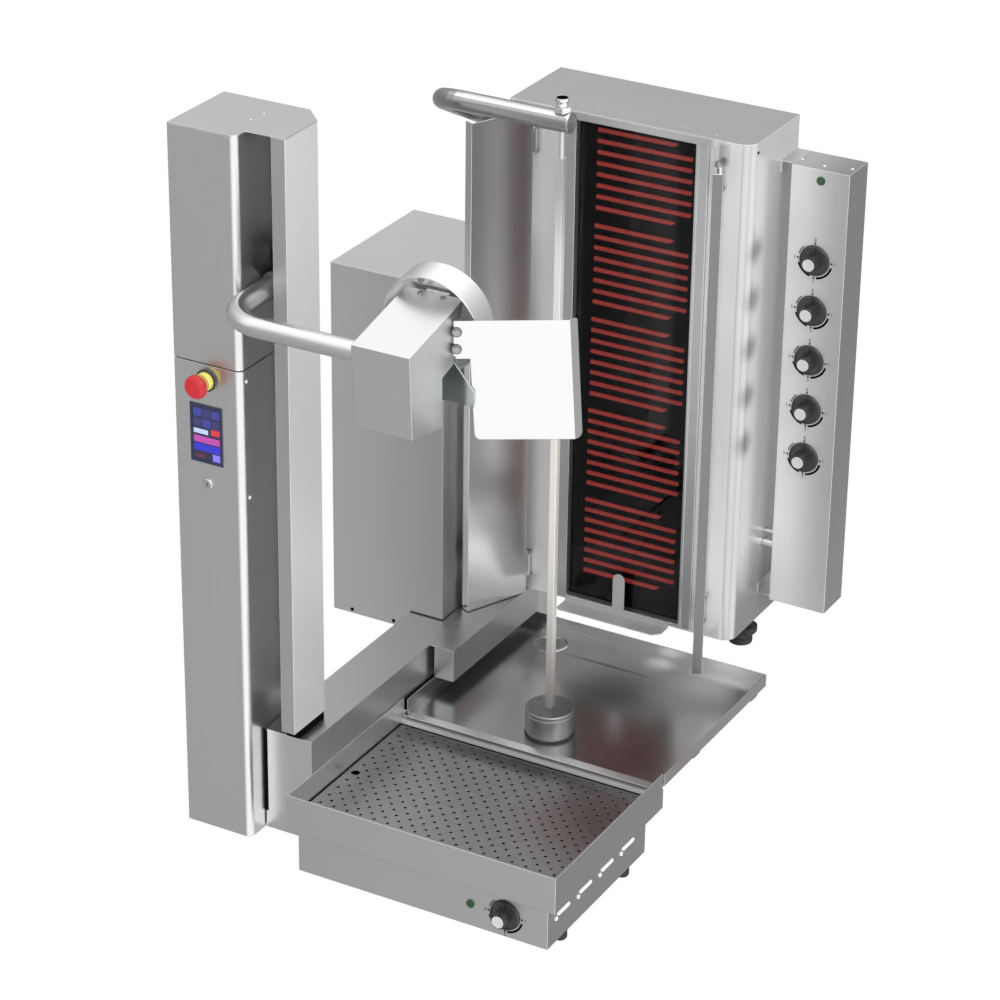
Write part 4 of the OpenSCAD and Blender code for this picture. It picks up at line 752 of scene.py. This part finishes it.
# Casing of the pan as the photograph shows it, deeper than the first reading, with four louvres
CASING_RIGHT, LOUVRE_STEP = 702, 75
casing = strip((232, PAN_FACE, 20), (CASING_RIGHT, 321, 100.9))
louvres = [turned([(0.3, 0), (2.4, 0.6), (3.7, 2.4), (3.7, 36.6), (2.4, 39.4), (0, 40)],
                  (CASING_RIGHT + 0.4, 11 + LOUVRE_STEP * i, 71), BACK, 20) for i in range(4)]
louvre_dots = [screw_head((CASING_RIGHT, 8 + LOUVRE_STEP * i, 64), RIGHT, 3.8, 2.4) for i in range(4)]
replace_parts(add_piece("pan_casing", [casing], "pan", "machine"), "pan_body")
# The louvres and the dots at their ends are white as painted highlights
add_piece("pan_louvres", louvres + louvre_dots, "louvre", "machine")

# Plates on the heater's front beside the tops of the wings, and the dark screw at its right corner
for side, name in ((-1, "left"), (1, "right")):
    x0, x1 = sorted((GLASS_MIDDLE + side * 169, GLASS_MIDDLE + side * 187))
    add_piece(name + "_hinge_plate",
              [strip((x0, HEATER_FRONT - 1.6, 1107), (x1, HEATER_FRONT - 0.1, 1143))],
              "frame", "machine")
add_piece("corner_screw", [screw_head((HEATER_RIGHT, 727, 1131), RIGHT, 2.6, 1.2)], "black_and_shadow", "machine")

# Heating bars as the photograph shows them: five zones of eight, the first and the last bar of each zone
# shorter and cut off at a slant, each zone a little further left than the one above
ZONES, BARS_PER_ZONE = 5, 8
BARS_TOP, ZONE_STEP, BAR_STEP, BAR_HIGH = 1121.2, 172.8, 19.95, 6.8
BAR_START, BAR_LEAN, BAR_LONG, BAR_SHORT = 372.5, 1.6, 178, 150
BAR_FRONT, BAR_BACK = 719, 722


def heating_bar(zone, place):
    """Flat prism P(k, d) = corner k of the front outline + d back, the outline drawn in x and z from the
    bar's lower left and d being 0 or the bar's depth."""
    x = BAR_START - BAR_LEAN * zone
    z = BARS_TOP - ZONE_STEP * zone - BAR_STEP * place - BAR_HIGH
    if place in (0, BARS_PER_ZONE - 1):
        right_end = [(BAR_SHORT - 7, 0), (BAR_SHORT, BAR_HIGH - 1), (BAR_SHORT - 1, BAR_HIGH)]
    else:
        right_end = [(BAR_LONG - 2, 0), (BAR_LONG, 2), (BAR_LONG, BAR_HIGH - 1), (BAR_LONG - 1, BAR_HIGH)]
    outline = np.array([(0, 0.8), (0.8, 0), *right_end, (0.8, BAR_HIGH), (0, BAR_HIGH - 0.8)])
    n = len(outline)
    front = np.column_stack((x + outline[:, 0], np.full(n, BAR_FRONT), z + outline[:, 1]))
    back = front + (0, BAR_BACK - BAR_FRONT, 0)
    i = np.arange(n)
    after = np.roll(i, -1)
    sides = np.column_stack((i, i + n, after + n, after)).tolist()
    return metres(np.vstack((front, back))), [i.tolist(), (i[::-1] + n).tolist()] + sides


bars = [heating_bar(zone, place) for zone in range(ZONES) for place in range(BARS_PER_ZONE)]
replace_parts(add_piece("heating_bars", bars, "bars", "machine"), "heating_elements")

# Dark rubber rings of painted shadow round the washers, and the washers, under the two bolts of the
# deflector plate, which stands turned from the front
PLATE_TURN = math.radians(24)
outward = Vector((math.sin(PLATE_TURN), -math.cos(PLATE_TURN), 0))
bolt_x, bolt_y = 510 - 3 * math.cos(PLATE_TURN), 15 - 3 * math.sin(PLATE_TURN)
for name, look, r, a in (("bolt_shadow_rings", "rubber", 8.2, 0.1), ("bolt_washers", "hinge", 7.0, 0.9)):
    rings = [turned([(r, a), (r, a + 0.7), (0, a + 0.8)], (bolt_x, bolt_y, z), outward)
             for z in (1017, 1045)]
    add_piece(name, rings, look, "arm")
